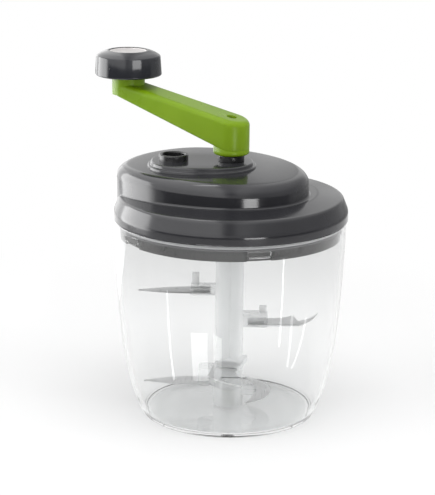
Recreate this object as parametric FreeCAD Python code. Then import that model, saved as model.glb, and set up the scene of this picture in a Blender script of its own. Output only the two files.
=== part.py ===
import FreeCAD, Part
import math
import os

# Hand-cranked food chopper: clear bowl, geared lid, crank and five-blade shaft.
# Millimetres and degrees. +Z is up, the origin is on the bowl's axis at the
# surface it stands on. The front of the object faces -Y.

# ---- clearances -------------------------------------------------------------
running_gap = 0.05      # radial, between a shaft and its bearing
seat_gap = 0.05         # between pieces of one assembly that are pressed or screwed together
free_gap = 0.3          # between pieces that move past each other
stack_gap = 0.4         # axial, between a turning piece and the one that carries it

# ---- bowl -------------------------------------------------------------------
bowl_height = 131.1
bowl_rim_r = 75.1
bowl_base_r = 56.9
bowl_straight_share = 0.12      # share of the flare that is a plain cone
bowl_curve_rate = 3.75          # how fast the rest of the flare levels off
bowl_wall = 2.6
bowl_floor = 2.6
bowl_base_edge_r = 1.8
bowl_inner_corner_r = 7.0
bowl_boss_r = 6.5
bowl_boss_rise = 0.5
foot_pad_r = 53.0
foot_pad_thick = 1.2
foot_pad_proud = 0.5            # how far the pad stands out below the bowl
pivot_pin_r = 3.0
pivot_pin_rise = 16.0           # above the bowl's boss
pivot_pin_root = 2.0            # sunk into the boss and floor

# ---- bayonet between bowl and lid -------------------------------------------
lug_count = 5
lug_turn = 14.4                 # first lug, degrees from the front towards +X
lug_angle = 11.5
lug_height = 3.6
lug_drop = 7.8                  # rim of the bowl down to the lug's lower face
lug_reach = 2.1                 # how far a lug stands in from the bowl's wall
twist_angle = 17.0

# ---- lid --------------------------------------------------------------------
lid_overhang = 0.9              # lid's edge beyond the bowl's rim
lid_wall = 2.4
lid_rim_height = 17.2           # lower edge up to the ledge at the dome's foot
lid_shoulder_r = 9.0
ledge_fall = 2.6                # how far the ledge falls towards the lid's edge
ledge_slope = 20.0              # width of the ledge's sloping band; inside it the ledge is level
dome_long = 140.0
dome_wide = 110.0
dome_x = -14.0
dome_y = 8.5
dome_turn = -40.0
dome_margin = 0.3               # least distance from the dome's wall to the lid's edge
dome_blend = 40                 # how sharply the dome's outline follows that margin
dome_rise = 13.8                # ledge up to the dome's shoulder
dome_shoulder_r = 7.5
dome_crown = 3.4                # how far the middle bulges above the shoulder
skirt_height = 10.8
skirt_wall = 3.8
skirt_gap = 1.0                 # radial, inside the bowl's rim
plate_thick = 2.4
groove_floor = 0.5              # radial, between a lug's tip and the bottom of its groove
lid_screw_count = 5
lid_screw_inset = 6.4           # radial, from the skirt's inner wall to the screws
lid_screw_turn = 54.0           # first screw, degrees from +X
lid_screw_r = 1.3
lid_screw_head_r = 2.6
lid_screw_head = 1.4
lid_screw_grip = 8.0
lid_screw_boss_r = 3.4

# ---- seal -------------------------------------------------------------------
seal_height = 2.8
seal_drop = 1.0                 # rim of the bowl down to the seal's top
seal_width = 1.8

# ---- oval plate on the dome -------------------------------------------------
oval_long = 70.6
oval_wide = 57.0
oval_x = -18.7
oval_power = 2.3
oval_flange = 4.2
oval_step = 2.2
oval_rise = 6.5
oval_edge_r = 1.3
oval_seat = 2.0                 # thickness of the dome's top under the plate
oval_screw_span_x = 20.0
oval_screw_span_y = 36.0
oval_screw_r = 1.1
oval_screw_head_r = 2.1
oval_screw_head = 1.2
oval_screw_grip = 5.0

# ---- pour tube --------------------------------------------------------------
pour_x = -36.9
pour_r = 9.5
pour_hole_r = 7.1
pour_rise = 3.9
pour_shoulder = 1.1
pour_shoulder_height = 1.5
pour_tail = 2.2                 # how far it reaches below the inner lid

# ---- gear train -------------------------------------------------------------
gear_module = 1.0
gear_pressure = 25.0
gear_backlash = 0.16            # taken off each tooth's thickness
gear_face = 9.0
ring_teeth = 42
sun_teeth = 12
ring_rim = 2.4
ring_web = 3.0
planet_count = 3
planet_pin_r = 1.5
planet_boss = 1.0
spindle_top_r = 2.4
spindle_r = 4.0
spindle_hex = 8.0               # across flats
spindle_hex_length = 18.0
spindle_bush_wall = 2.0
spindle_bush_flange = 0.7
spindle_bush_lip = 1.5
spindle_boss = 4.4              # how far the bearing boss hangs below the inner lid
spindle_boss_wall = 2.4

# ---- crank ------------------------------------------------------------------
crank_shaft_r = 5.0
crank_hex = 8.0                 # across flats, in the arm
crank_hex_cover = 3.0           # arm left between the hexagon and the screw's recess
crank_bush_wall = 1.9
crank_bush_flange_r = 8.5
crank_bush_flange = 4.0
crank_radius = 78.6
crank_heading = 150.0           # direction of the knob from the axis
hub_r = 11.6
hub_top = 24.1                  # hub's foot up to the arm's top plane, on the axis
hub_keel = 4.2                  # hub's foot up to the arm's lower plane, on the axis
arm_top_slope = 0.1985
arm_keel_slope = 0.329
arm_end_r = 10.8
arm_neck_rise = 3.5             # above the arm's top plane
arm_edge_r = 3.4
arm_lower_edge_r = 1.6
crank_screw_r = 1.5
crank_screw_head_r = 2.9
crank_screw_head = 1.8
crank_screw_grip = 12.0
crank_recess = 4.0              # hub's top down to the screw's seat

# ---- knob -------------------------------------------------------------------
knob_r = 22.0
knob_shoulder_r = 21.0
knob_side = 13.0
knob_height = 16.4
knob_top_r = 13.6
knob_bulge = 0.25                # how far the slope between shoulder and top is domed
knob_wall = 2.6
knob_sleeve_r = 6.6
knob_edge_r = 1.1
knob_cap_r = 12.4
knob_cap_thick = 2.0
knob_cap_inset = 0.35
knob_pin_r = 3.0
knob_pin_root = 10.5
knob_sleeve_rise = 10.6
knob_washer_r = 5.6
knob_washer = 0.8
knob_screw_r = 1.2
knob_screw_head_r = 2.6
knob_screw_head = 1.6
knob_screw_grip = 8.0

# ---- blade shaft ------------------------------------------------------------
shaft_r = 9.3
shaft_bore_r = 6.2
shaft_plug = 20.0               # solid length at the top that holds the hexagon socket
foot_r = 9.8
foot_height = 12.0
foot_spigot = 8.0
foot_bush_wall = 1.2
foot_bush_length = 12.0
blade_thick = 1.0
blade_root = 12.5               # distance from the axis at which a blade's plate starts
upper_reach = 60.0              # distance from the axis at which its tip lies
middle_reach = 60.0
front_reach = 56.0
lower_reach = 56.5
straight_front = 5.8            # halves of a straight blade's width at its root
straight_back = 9.2
swept_front = 6.0               # halves of a swept blade's width at its root
swept_back = 11.0
middle_sweep = 23.0             # how far back a swept blade's tip lies
front_sweep = 21.0
swept_bow = 2.1                 # how far a swept blade's curved edges bow
swept_tip = 14.0                # length of its tip beyond the straight back
blade_cusp = 7.0                # height of the tooth between a swept blade's edges
notch_depth = 5.5               # from a swept blade's edge at its root down to the notch
notch_step = 3.0                # notch beyond the tooth's point
straight_bow = 1.6              # how far a straight blade's edges bow
hook_r = 28.0
hook_width = 11.0
hook_angle = 66.0
arm_reach = 25.5                # arms that grip the blades
lower_arm_reach = 20.0
arm_front = 3.0
arm_cover = 1.5                 # plastic beyond the blade's back edge
arm_below = 1.5                 # plastic under the blade
upper_arm_above = 2.2           # plastic over the blade
middle_arm_above = 4.5
front_arm_above = 1.2
lower_arm_above = 9.0
hook_arm_above = 1.5
hook_arm_half = 5.0
hook_arm_grip = 1.5
arm_tab = 4.6                   # latch tabs on the upper and middle arms
arm_tab_inset = 1.0
upper_tab_rise = 8.6
middle_tab_rise = 5.3
upper_blade_z = 81.1
middle_blade_z = 59.6
front_blade_z = 36.6
front_heading = -102.5
lower_blade_z = 18.6
hook_blade_z = 13.2

# ---- levels and radii worked out from the sizes above -----------------------
lid_r = bowl_rim_r + lid_overhang
ledge_flat_r = lid_r - ledge_slope
bowl_bottom = foot_pad_proud
floor_top = bowl_bottom + bowl_floor
boss_top = floor_top + bowl_boss_rise
lid_bottom = bowl_height + free_gap
plate_bottom = lid_bottom + free_gap
plate_top = plate_bottom + plate_thick
ledge_z = lid_bottom + lid_rim_height
dome_shoulder_z = ledge_z + dome_rise
dome_top = dome_shoulder_z + dome_crown
skirt_bottom = plate_bottom - skirt_height
lug_bottom = bowl_height - lug_drop
lug_top = lug_bottom + lug_height
seal_top = bowl_height - seal_drop
seal_bottom = seal_top - seal_height
dome_ceiling = dome_shoulder_z - lid_wall
oval_bottom = dome_ceiling + oval_seat
oval_top = oval_bottom + oval_rise
pour_top = oval_top + pour_rise
gear_bottom = plate_top + planet_boss + free_gap
gear_top = gear_bottom + gear_face
web_bottom = gear_top + 2 * free_gap
web_top = web_bottom + ring_web
collar_top = oval_top + crank_bush_flange
hub_bottom = collar_top + stack_gap
knob_floor = hub_bottom + hub_top + arm_top_slope * crank_radius + arm_neck_rise + stack_gap
knob_top = knob_floor + knob_height
planet_teeth = (ring_teeth - sun_teeth) // 2
planet_ring_r = gear_module * (sun_teeth + planet_teeth) / 2
spindle_boss_bottom = plate_bottom - spindle_boss
shaft_top = spindle_boss_bottom - stack_gap
shaft_bottom = boss_top + stack_gap
up = FreeCAD.Vector(0, 0, 1)
front = -90                     # direction of the object's front, degrees from +X
origin = FreeCAD.Vector(0, 0, 0)


# ---- shared helpers ---------------------------------------------------------
def point(x, y, z=0.0):
    return FreeCAD.Vector(x, y, z)


def cylinder(radius, bottom, top, x=0.0, y=0.0):
    return Part.makeCylinder(radius, top - bottom, point(x, y, bottom))


def tube(outer, inner, bottom, top, x=0.0, y=0.0):
    return cylinder(outer, bottom, top, x, y).cut(cylinder(inner, bottom - 1, top + 1, x, y))


def hexagon(across_flats, bottom, top):
    corner = across_flats / math.sqrt(3)
    corners = [point(corner * math.cos(math.radians(60 * k)),
                     corner * math.sin(math.radians(60 * k)), bottom) for k in range(7)]
    return Part.Face(Part.makePolygon(corners)).extrude(up * (top - bottom))


def turned(edges):
    """Revolve a closed outline, given in the XZ plane, about the Z axis."""
    return Part.Face(Part.Wire(edges)).revolve(origin, up, 360)


def smooth_plan(radius_at, bottom, top, count=48):
    """Upright prism whose plan is a smooth closed curve of points radius_at(k / count)."""
    curve = Part.BSplineCurve()
    curve.interpolate([radius_at(2 * math.pi * k / count) for k in range(count)], PeriodicFlag=True)
    curve_wire = Part.Wire(curve.toShape())
    curve_wire.translate(up * bottom)
    return Part.Face(curve_wire).extrude(up * (top - bottom))


def turn(shape, angle, x=0.0, y=0.0):
    copy = shape.copy()
    copy.rotate(point(x, y), up, angle)
    return copy


def shift(shape, x=0.0, y=0.0, z=0.0):
    copy = shape.copy()
    copy.translate(point(x, y, z))
    return copy


def round_edges(shape, radius, wanted):
    """Fillet the edges that wanted(edge) picks out."""
    edges = [edge for edge in shape.Edges if wanted(edge)]
    return shape.makeFillet(radius, edges) if edges else shape


def lies_at(height):
    """Test for edges that lie wholly in the plane z = height."""
    return lambda edge: abs(edge.BoundBox.ZMin - height) < 0.01 and abs(edge.BoundBox.ZMax - height) < 0.01


def wedge(inner, outer, bottom, top, start, angle):
    """Block of a ring, start and angle in degrees from the front (-Y) towards +X."""
    face = Part.Face(Part.makePolygon([point(inner, 0, bottom), point(outer, 0, bottom),
                                       point(outer, 0, top), point(inner, 0, top),
                                       point(inner, 0, bottom)]))
    return turn(face.revolve(origin, up, angle), start + front)


def screw(shank_r, shank, head_r, head, socket_r):
    """Screw with its head's seat at z = 0, its shank pointing down and a round socket."""
    body = cylinder(shank_r, -shank, 0).fuse(cylinder(head_r, 0, head)).removeSplitter()
    body = body.cut(cylinder(socket_r, head / 2, head + 1))
    return round_edges(body, head / 4, lambda e: lies_at(head)(e) and e.BoundBox.XLength > 1.9 * head_r)


# ---- bowl -------------------------------------------------------------------
def bowl_outer_r(z):
    """Outside radius of the bowl: a cone plus an exponential flare."""
    share = (z - bowl_bottom) / (bowl_height - bowl_bottom)
    bend = (1 - math.exp(-bowl_curve_rate * share)) / (1 - math.exp(-bowl_curve_rate))
    flare = bowl_straight_share * share + (1 - bowl_straight_share) * bend
    return bowl_base_r + (bowl_rim_r - bowl_base_r) * flare


def bowl_inner_r(z):
    return bowl_outer_r(z) - bowl_wall


def bowl_wall_curve(radius_at, bottom):
    heights = [bottom + (bowl_height - bottom) * share for share in (0, 0.05, 0.12, 0.22, 0.36, 0.56, 0.78, 1)]
    curve = Part.BSplineCurve()
    curve.interpolate([point(radius_at(z), 0, z) for z in heights])
    return curve.toShape()


def bowl_solid(radius_at, bottom, corner_r):
    """Solid of revolution under the wall curve, with its lower corner rounded."""
    axis_low, axis_high = point(0, 0, bottom), point(0, 0, bowl_height)
    low, high = point(radius_at(bottom), 0, bottom), point(radius_at(bowl_height), 0, bowl_height)
    solid = turned([Part.makeLine(axis_low, low), bowl_wall_curve(radius_at, bottom),
                    Part.makeLine(high, axis_high), Part.makeLine(axis_high, axis_low)])
    return round_edges(solid, corner_r, lies_at(bottom))


lug_tip_r = bowl_inner_r(lug_bottom) - lug_reach


def lug_start(index):
    return lug_turn + index * 360 / lug_count - lug_angle / 2


def make_lugs():
    lug_root = bowl_inner_r(lug_bottom) + bowl_wall / 2
    first = wedge(lug_tip_r, lug_root, lug_bottom, lug_top, lug_start(0), lug_angle)
    return [turn(first, index * 360 / lug_count) for index in range(lug_count)]


def make_bowl():
    shell = bowl_solid(bowl_outer_r, bowl_bottom, bowl_base_edge_r)
    cavity = bowl_solid(bowl_inner_r, floor_top, bowl_inner_corner_r)
    for lug in make_lugs():
        cavity = cavity.cut(lug)
    shell = shell.cut(cavity)
    shell = round_edges(shell, bowl_wall / 5, lies_at(bowl_height))
    shell = shell.fuse(cylinder(bowl_boss_r, floor_top - bowl_floor / 2, boss_top))
    shell = shell.cut(cylinder(foot_pad_r + seat_gap, bowl_bottom - 1, foot_pad_thick + seat_gap))
    return shell.cut(cylinder(pivot_pin_r, boss_top - pivot_pin_root, boss_top + 1))


def make_foot_pad():
    pad = cylinder(foot_pad_r, 0, foot_pad_thick)
    return round_edges(pad, foot_pad_proud / 2, lies_at(0))


def make_pivot_pin():
    pin = cylinder(pivot_pin_r, boss_top - pivot_pin_root, boss_top + pivot_pin_rise)
    return round_edges(pin, pivot_pin_r / 2, lies_at(boss_top + pivot_pin_rise))


# ---- seal -------------------------------------------------------------------
seal_r = bowl_inner_r(seal_bottom) - free_gap
seal_inner_r = seal_r - seal_width


def make_lid_seal():
    ring = tube(seal_r, seal_inner_r, seal_bottom, seal_top)
    return round_edges(ring, seal_width / 4, lambda e: e.BoundBox.XLength > 1.99 * seal_r)


# ---- lid --------------------------------------------------------------------
def dome_plan(margin):
    """Plan of the dome: a turned ellipse, held inside the lid's edge, shrunk by margin."""
    half_long = dome_long / 2 - margin
    half_wide = dome_wide / 2 - margin
    limit = lid_r - dome_margin - margin
    turn_angle = math.radians(dome_turn)

    def radius_at(angle):
        x = dome_x + half_long * math.cos(angle) * math.cos(turn_angle) \
            - half_wide * math.sin(angle) * math.sin(turn_angle)
        y = dome_y + half_long * math.cos(angle) * math.sin(turn_angle) \
            + half_wide * math.sin(angle) * math.cos(turn_angle)
        reach = math.hypot(x, y)
        held = (reach ** -dome_blend + limit ** -dome_blend) ** (-1 / dome_blend)
        return point(x * held / reach, y * held / reach)
    return radius_at


def oval_plan(margin):
    """Plan of the oval plate: a superellipse shrunk by margin."""
    half_long = oval_long / 2 - margin
    half_wide = oval_wide / 2 - margin

    def radius_at(angle):
        cosine, sine = math.cos(angle), math.sin(angle)
        power = 2 / oval_power
        return point(oval_x + half_long * math.copysign(abs(cosine) ** power, cosine),
                     half_wide * math.copysign(abs(sine) ** power, sine))
    return radius_at


def lid_drum(radius, bottom, top, corner_r):
    """Round drum whose top falls by ledge_fall out to its rounded edge."""
    edge_z = top - ledge_fall
    outline = [point(0, 0, bottom), point(radius, 0, bottom), point(radius, 0, edge_z),
               point(ledge_flat_r, 0, top), point(0, 0, top)]
    drum = turned(Part.makePolygon(outline + outline[:1]).Edges)
    return round_edges(drum, corner_r, lies_at(edge_z))


def lid_envelope():
    """Outside of the lid cover, filled."""
    rim = lid_drum(lid_r, lid_bottom, ledge_z, lid_shoulder_r)
    crown_span = dome_long / 2
    crown_r = (crown_span ** 2 + dome_crown ** 2) / (2 * dome_crown)
    crown = Part.makeSphere(crown_r, point(dome_x, dome_y, dome_top - crown_r))
    dome = smooth_plan(dome_plan(0), ledge_z - ledge_fall - lid_shoulder_r, dome_top).common(crown)
    dome = round_edges(dome, dome_shoulder_r,
                       lambda e: e.BoundBox.ZMin > ledge_z and e.BoundBox.XLength > dome_wide / 2)
    return rim.fuse(dome).removeSplitter()


def lid_cavity():
    """Inside of the lid cover."""
    rim = lid_drum(lid_r - lid_wall, lid_bottom - 1, ledge_z - lid_wall, lid_shoulder_r - lid_wall)
    dome = smooth_plan(dome_plan(lid_wall), lid_bottom, dome_ceiling)
    dome = round_edges(dome, dome_shoulder_r - lid_wall, lies_at(dome_ceiling))
    return rim.fuse(dome)


def ring_places(count, radius, start):
    angles = [math.radians(start + 360 * k / count) for k in range(count)]
    return [(radius * math.cos(a), radius * math.sin(a)) for a in angles]


skirt_r = bowl_inner_r(skirt_bottom) - skirt_gap
lid_screw_places = ring_places(lid_screw_count, skirt_r - skirt_wall - lid_screw_inset, lid_screw_turn)
oval_screw_places = [(oval_x + side_x * oval_screw_span_x / 2, side_y * oval_screw_span_y / 2)
                     for side_x in (-1, 1) for side_y in (-1, 1)]
crank_bush_r = crank_shaft_r + running_gap + crank_bush_wall
pour_hole_clear = pour_r + seat_gap


def make_lid_cover():
    envelope = lid_envelope()
    cover = envelope.cut(lid_cavity())
    for x, y in lid_screw_places:
        post = cylinder(lid_screw_boss_r, plate_top + seat_gap, dome_top, x, y).common(envelope)
        cover = cover.fuse(post)
    cover = cover.fuse(cylinder(crank_bush_r + 2 * lid_wall, web_top + 3 * stack_gap, oval_bottom))
    cover = cover.cut(smooth_plan(oval_plan(-seat_gap), oval_bottom, dome_top + 1))
    cover = cover.cut(cylinder(crank_bush_r + seat_gap, plate_top, dome_top))
    cover = cover.cut(cylinder(pour_hole_clear, dome_ceiling - 1, dome_top, pour_x))
    for x, y in lid_screw_places:
        cover = cover.cut(cylinder(lid_screw_r, plate_bottom, plate_top + lid_screw_grip, x, y))
    for x, y in oval_screw_places:
        cover = cover.cut(cylinder(oval_screw_r + seat_gap, dome_ceiling - 1, dome_top, x, y))
    return cover


spindle_bush_r = spindle_r + running_gap + spindle_bush_wall


def make_inner_lid():
    """Plate that carries the gears, with the bayonet skirt under it."""
    plate = cylinder(lid_r - lid_wall - seat_gap, plate_bottom, plate_top)
    skirt = tube(skirt_r, skirt_r - skirt_wall, skirt_bottom, plate_bottom + plate_thick / 2)
    body = plate.fuse(skirt)
    body = body.fuse(cylinder(spindle_bush_r + spindle_boss_wall, spindle_boss_bottom, plate_bottom + plate_thick / 2))
    for x, y in ring_places(planet_count, planet_ring_r, 0):
        body = body.fuse(cylinder(2 * planet_pin_r, plate_top - plate_thick / 2, plate_top + planet_boss, x, y))
        body = body.cut(cylinder(planet_pin_r, plate_bottom - 1, plate_top + planet_boss + 1, x, y))
    body = body.cut(tube(skirt_r + 1, seal_inner_r - free_gap, seal_bottom - free_gap, seal_top + free_gap))
    lug_play = math.degrees(free_gap / lug_tip_r) * 2
    for index in range(lug_count):
        start = lug_start(index) - lug_play
        entry_angle = lug_angle + 2 * lug_play
        low, high = lug_bottom - free_gap, lug_top + free_gap
        floor_r = lug_tip_r - groove_floor
        body = body.cut(wedge(floor_r, skirt_r + 1, low, high, start, entry_angle + twist_angle))
        body = body.cut(wedge(floor_r, skirt_r + 1, skirt_bottom - 1, high, start, entry_angle))
    body = body.cut(cylinder(spindle_bush_r, spindle_boss_bottom - 1, plate_top + 1))
    body = body.cut(cylinder(pour_hole_clear, plate_bottom - 1, plate_top + 1, pour_x))
    for x, y in lid_screw_places:
        body = body.cut(cylinder(lid_screw_r + seat_gap, plate_bottom - 1, plate_top + 1, x, y))
    return body


def make_lid_screws():
    one = screw(lid_screw_r, lid_screw_grip, lid_screw_head_r, lid_screw_head, lid_screw_r)
    one.rotate(origin, point(1, 0), 180)
    return [shift(one, x, y, plate_bottom) for x, y in lid_screw_places]


def make_oval_plate():
    flange = smooth_plan(oval_plan(0), oval_bottom, oval_bottom + oval_flange)
    flange = round_edges(flange, oval_edge_r / 2, lies_at(oval_bottom + oval_flange))
    step = smooth_plan(oval_plan(oval_step), oval_bottom, oval_top)
    step = round_edges(step, oval_edge_r, lies_at(oval_top))
    plate = flange.fuse(step)
    plate = plate.cut(cylinder(crank_bush_r + seat_gap, oval_bottom - 1, oval_top + 1))
    plate = plate.cut(cylinder(pour_hole_clear, oval_bottom - 1, oval_top + 1, pour_x))
    for x, y in oval_screw_places:
        plate = plate.cut(cylinder(oval_screw_r, oval_bottom - 1, oval_bottom + oval_screw_grip - oval_seat, x, y))
    return plate


def make_oval_screws():
    one = screw(oval_screw_r, oval_screw_grip, oval_screw_head_r, oval_screw_head, oval_screw_r)
    one.rotate(origin, point(1, 0), 180)
    return [shift(one, x, y, dome_ceiling) for x, y in oval_screw_places]


def make_pour_tube():
    body = cylinder(pour_r, plate_bottom - pour_tail, pour_top, pour_x)
    shoulder_low = plate_top + seat_gap
    body = body.fuse(cylinder(pour_r + pour_shoulder, shoulder_low, shoulder_low + pour_shoulder_height, pour_x))
    body = body.cut(cylinder(pour_hole_r, plate_bottom - pour_tail - 1, pour_top + 1, pour_x))
    return round_edges(body, (pour_r - pour_hole_r) / 3, lies_at(pour_top))


def make_crank_bush():
    bore_r = crank_shaft_r + running_gap
    body = cylinder(crank_bush_r, web_top + 2 * stack_gap, collar_top)
    body = body.fuse(cylinder(crank_bush_flange_r, oval_top, collar_top))
    body = round_edges(body, crank_bush_wall / 3,
                       lambda e: lies_at(collar_top)(e) and e.BoundBox.XLength > 1.9 * crank_bush_flange_r)
    return body.cut(cylinder(bore_r, plate_top, collar_top + 1))


def make_spindle_bush():
    flange_top = plate_top + spindle_bush_flange
    body = cylinder(spindle_bush_r, spindle_boss_bottom, flange_top)
    body = body.fuse(cylinder(spindle_bush_r + spindle_bush_lip, plate_top, flange_top))
    return body.cut(cylinder(spindle_r + running_gap, spindle_boss_bottom - 1, flange_top + 1))


def make_planet_pins():
    places = ring_places(planet_count, planet_ring_r, 0)
    return [cylinder(planet_pin_r, plate_bottom, gear_top + free_gap, x, y) for x, y in places]


# ---- gears ------------------------------------------------------------------
def tooth_flank(base_r, start_r, end_r, half_angle_at_base, side):
    """Involute from start_r to end_r, mirrored by side = -1 or 1."""
    points = []
    for step in range(5):
        radius = start_r + (end_r - start_r) * step / 4
        roll = math.sqrt(max((radius / base_r) ** 2 - 1, 0))
        angle = half_angle_at_base - (roll - math.atan(roll))
        points.append((radius, side * angle))
    return points


def gear_wire(teeth, tip_r, root_r, thickness_change):
    """Closed outline of an involute gear with a tooth centred on +X."""
    pitch_r = gear_module * teeth / 2
    base_r = pitch_r * math.cos(math.radians(gear_pressure))
    pressure = math.radians(gear_pressure)
    half_at_pitch = math.pi / (2 * teeth) + thickness_change / (2 * pitch_r)
    half_at_base = half_at_pitch + math.tan(pressure) - pressure
    start_r = max(base_r, root_r)
    flank = tooth_flank(base_r, start_r, tip_r, half_at_base, 1)
    pitch_angle = 2 * math.pi / teeth

    def place(radius, angle):
        return point(radius * math.cos(angle), radius * math.sin(angle))

    def curve_through(points):
        curve = Part.BSplineCurve()
        curve.interpolate(points)
        return curve.toShape()

    edges = []
    for tooth in range(teeth):
        centre = tooth * pitch_angle
        rising = [place(r, centre - a) for r, a in flank]
        falling = [place(r, centre + a) for r, a in reversed(flank)]
        root_in = place(root_r, centre - half_at_base if start_r > root_r else centre - flank[0][1])
        root_out = place(root_r, centre + half_at_base if start_r > root_r else centre + flank[0][1])
        next_in = place(root_r, centre + pitch_angle - (half_at_base if start_r > root_r else flank[0][1]))
        if start_r > root_r:
            edges.append(Part.makeLine(root_in, rising[0]))
        edges.append(curve_through(rising))
        edges.append(Part.Arc(rising[-1], place(tip_r, centre), falling[0]).toShape())
        edges.append(curve_through(falling))
        if start_r > root_r:
            edges.append(Part.makeLine(falling[-1], root_out))
        edges.append(Part.Arc(root_out, place(root_r, centre + pitch_angle / 2), next_in).toShape())
    return Part.Wire(edges)


def external_gear(teeth, bore_r):
    pitch_r = gear_module * teeth / 2
    wire = gear_wire(teeth, pitch_r + gear_module, pitch_r - 1.25 * gear_module, -gear_backlash)
    wire.translate(up * gear_bottom)
    body = Part.Face(wire).extrude(up * gear_face)
    return body.cut(cylinder(bore_r, gear_bottom - 1, gear_top + 1))


def make_sun_gear():
    return external_gear(sun_teeth, spindle_top_r)


def make_planet_gear(index):
    """A tooth points outwards; with an odd number of teeth a space then faces the sun gear."""
    outward_tooth = 0 if planet_teeth % 2 else 180 / planet_teeth
    gear = turn(external_gear(planet_teeth, planet_pin_r + running_gap), outward_tooth)
    return turn(shift(gear, planet_ring_r), index * 360 / planet_count)


def make_ring_gear():
    """Cup with inward teeth, carried by the crank's shaft."""
    pitch_r = gear_module * ring_teeth / 2
    root_r = pitch_r + 1.25 * gear_module
    tip_r = pitch_r - gear_module
    cup = cylinder(root_r + ring_rim, gear_bottom, web_top)
    cup = round_edges(cup, ring_rim / 2, lies_at(web_top))
    space = gear_wire(ring_teeth, root_r, tip_r, gear_backlash)
    space.translate(up * (gear_bottom - 1))
    cup = cup.cut(Part.Face(space).extrude(up * (web_bottom - gear_bottom + 1)))
    return cup.cut(cylinder(crank_shaft_r, gear_bottom, web_top + 1))


def make_spindle():
    shoulder = spindle_boss_bottom - stack_gap
    body = hexagon(spindle_hex, shoulder - spindle_hex_length, shoulder)
    body = body.fuse(cylinder(spindle_r, shoulder, gear_bottom))
    return body.fuse(cylinder(spindle_top_r, gear_bottom, gear_top + free_gap)).removeSplitter()


# ---- crank ------------------------------------------------------------------
heading = math.radians(crank_heading)
knob_x = crank_radius * math.cos(heading)
knob_y = crank_radius * math.sin(heading)
arm_top_at_axis = hub_bottom + hub_top
neck_top = knob_floor - stack_gap
recess_floor = arm_top_at_axis - crank_recess
hex_top = recess_floor - crank_hex_cover


def slope_block(height_at_axis, slope, above):
    """Large block on one side of a plane that rises along +X."""
    reach = 2 * crank_radius
    deep = crank_radius if above else -crank_radius
    low_x, high_x = -reach, reach
    corners = [point(low_x, -reach, height_at_axis + slope * low_x),
               point(high_x, -reach, height_at_axis + slope * high_x),
               point(high_x, -reach, height_at_axis + slope * high_x + deep),
               point(low_x, -reach, height_at_axis + slope * low_x + deep)]
    return Part.Face(Part.makePolygon(corners + corners[:1])).extrude(point(0, 2 * reach))


def arm_plan(bottom, top):
    """Upright prism around the hub's and the end's circles and the tangents between them."""
    lean = math.acos((hub_r - arm_end_r) / crank_radius)

    def on_circle(centre_x, radius, angle):
        return point(centre_x + radius * math.cos(angle), radius * math.sin(angle), bottom)

    hub_left, hub_right = on_circle(0, hub_r, lean), on_circle(0, hub_r, -lean)
    end_left = on_circle(crank_radius, arm_end_r, lean)
    end_right = on_circle(crank_radius, arm_end_r, -lean)
    edges = [Part.Arc(hub_left, on_circle(0, hub_r, math.pi), hub_right).toShape(),
             Part.makeLine(hub_right, end_right),
             Part.Arc(end_right, on_circle(crank_radius, arm_end_r, 0), end_left).toShape(),
             Part.makeLine(end_left, hub_left)]
    return Part.Face(Part.Wire(edges)).extrude(up * (top - bottom))


def make_crank_arm():
    bar = arm_plan(hub_bottom + 2 * arm_lower_edge_r, neck_top)
    bar = bar.cut(slope_block(arm_top_at_axis, arm_top_slope, True))
    bar = bar.cut(slope_block(hub_bottom + hub_keel, arm_keel_slope, False))
    top_face = max((face for face in bar.Faces if abs(face.normalAt(0, 0).z) > 0.5),
                   key=lambda face: face.CenterOfMass.z)
    bar = bar.makeFillet(arm_edge_r, top_face.Edges)
    hub = cylinder(hub_r, hub_bottom, arm_top_at_axis - 2 * arm_edge_r)
    hub = round_edges(hub, arm_lower_edge_r, lies_at(hub_bottom))
    neck = cylinder(arm_end_r, neck_top - arm_neck_rise - 2 * arm_edge_r, neck_top, crank_radius)
    arm = bar.fuse(hub).fuse(neck).removeSplitter()
    arm = arm.cut(hexagon(crank_hex + 2 * seat_gap, hub_bottom - 1, hex_top))
    arm = arm.cut(cylinder(crank_screw_r + seat_gap, hub_bottom, neck_top))
    arm = arm.cut(cylinder(crank_screw_head_r + free_gap, recess_floor, neck_top))
    arm = arm.cut(cylinder(knob_pin_r, neck_top - knob_pin_root, neck_top + 1, crank_radius))
    return turn(arm, crank_heading)


def make_crank_shaft():
    shaft = cylinder(crank_shaft_r, web_bottom, hub_bottom - stack_gap / 2)
    shaft = shaft.fuse(turn(hexagon(crank_hex, hub_bottom - stack_gap, hex_top - stack_gap), crank_heading))
    return shaft.cut(cylinder(crank_screw_r, recess_floor - crank_screw_grip - 1, hex_top + 1))


def make_crank_screw():
    body = screw(crank_screw_r, crank_screw_grip, crank_screw_head_r, crank_screw_head, crank_screw_r)
    return shift(body, z=recess_floor)


# ---- knob -------------------------------------------------------------------
sleeve_top = knob_floor + knob_sleeve_rise
pin_top = sleeve_top + stack_gap


def make_knob_pin():
    pin = cylinder(knob_pin_r, neck_top - knob_pin_root, pin_top, knob_x, knob_y)
    return pin.cut(cylinder(knob_screw_r, pin_top - knob_screw_grip - 1, pin_top + 1, knob_x, knob_y))


def make_knob_washer():
    return tube(knob_washer_r, knob_screw_r + seat_gap, pin_top, pin_top + knob_washer, knob_x, knob_y)


def make_knob_screw():
    shank = knob_screw_grip + knob_washer
    body = screw(knob_screw_r, shank, knob_screw_head_r, knob_screw_head, knob_screw_r)
    return shift(body, knob_x, knob_y, pin_top + knob_washer)


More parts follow.
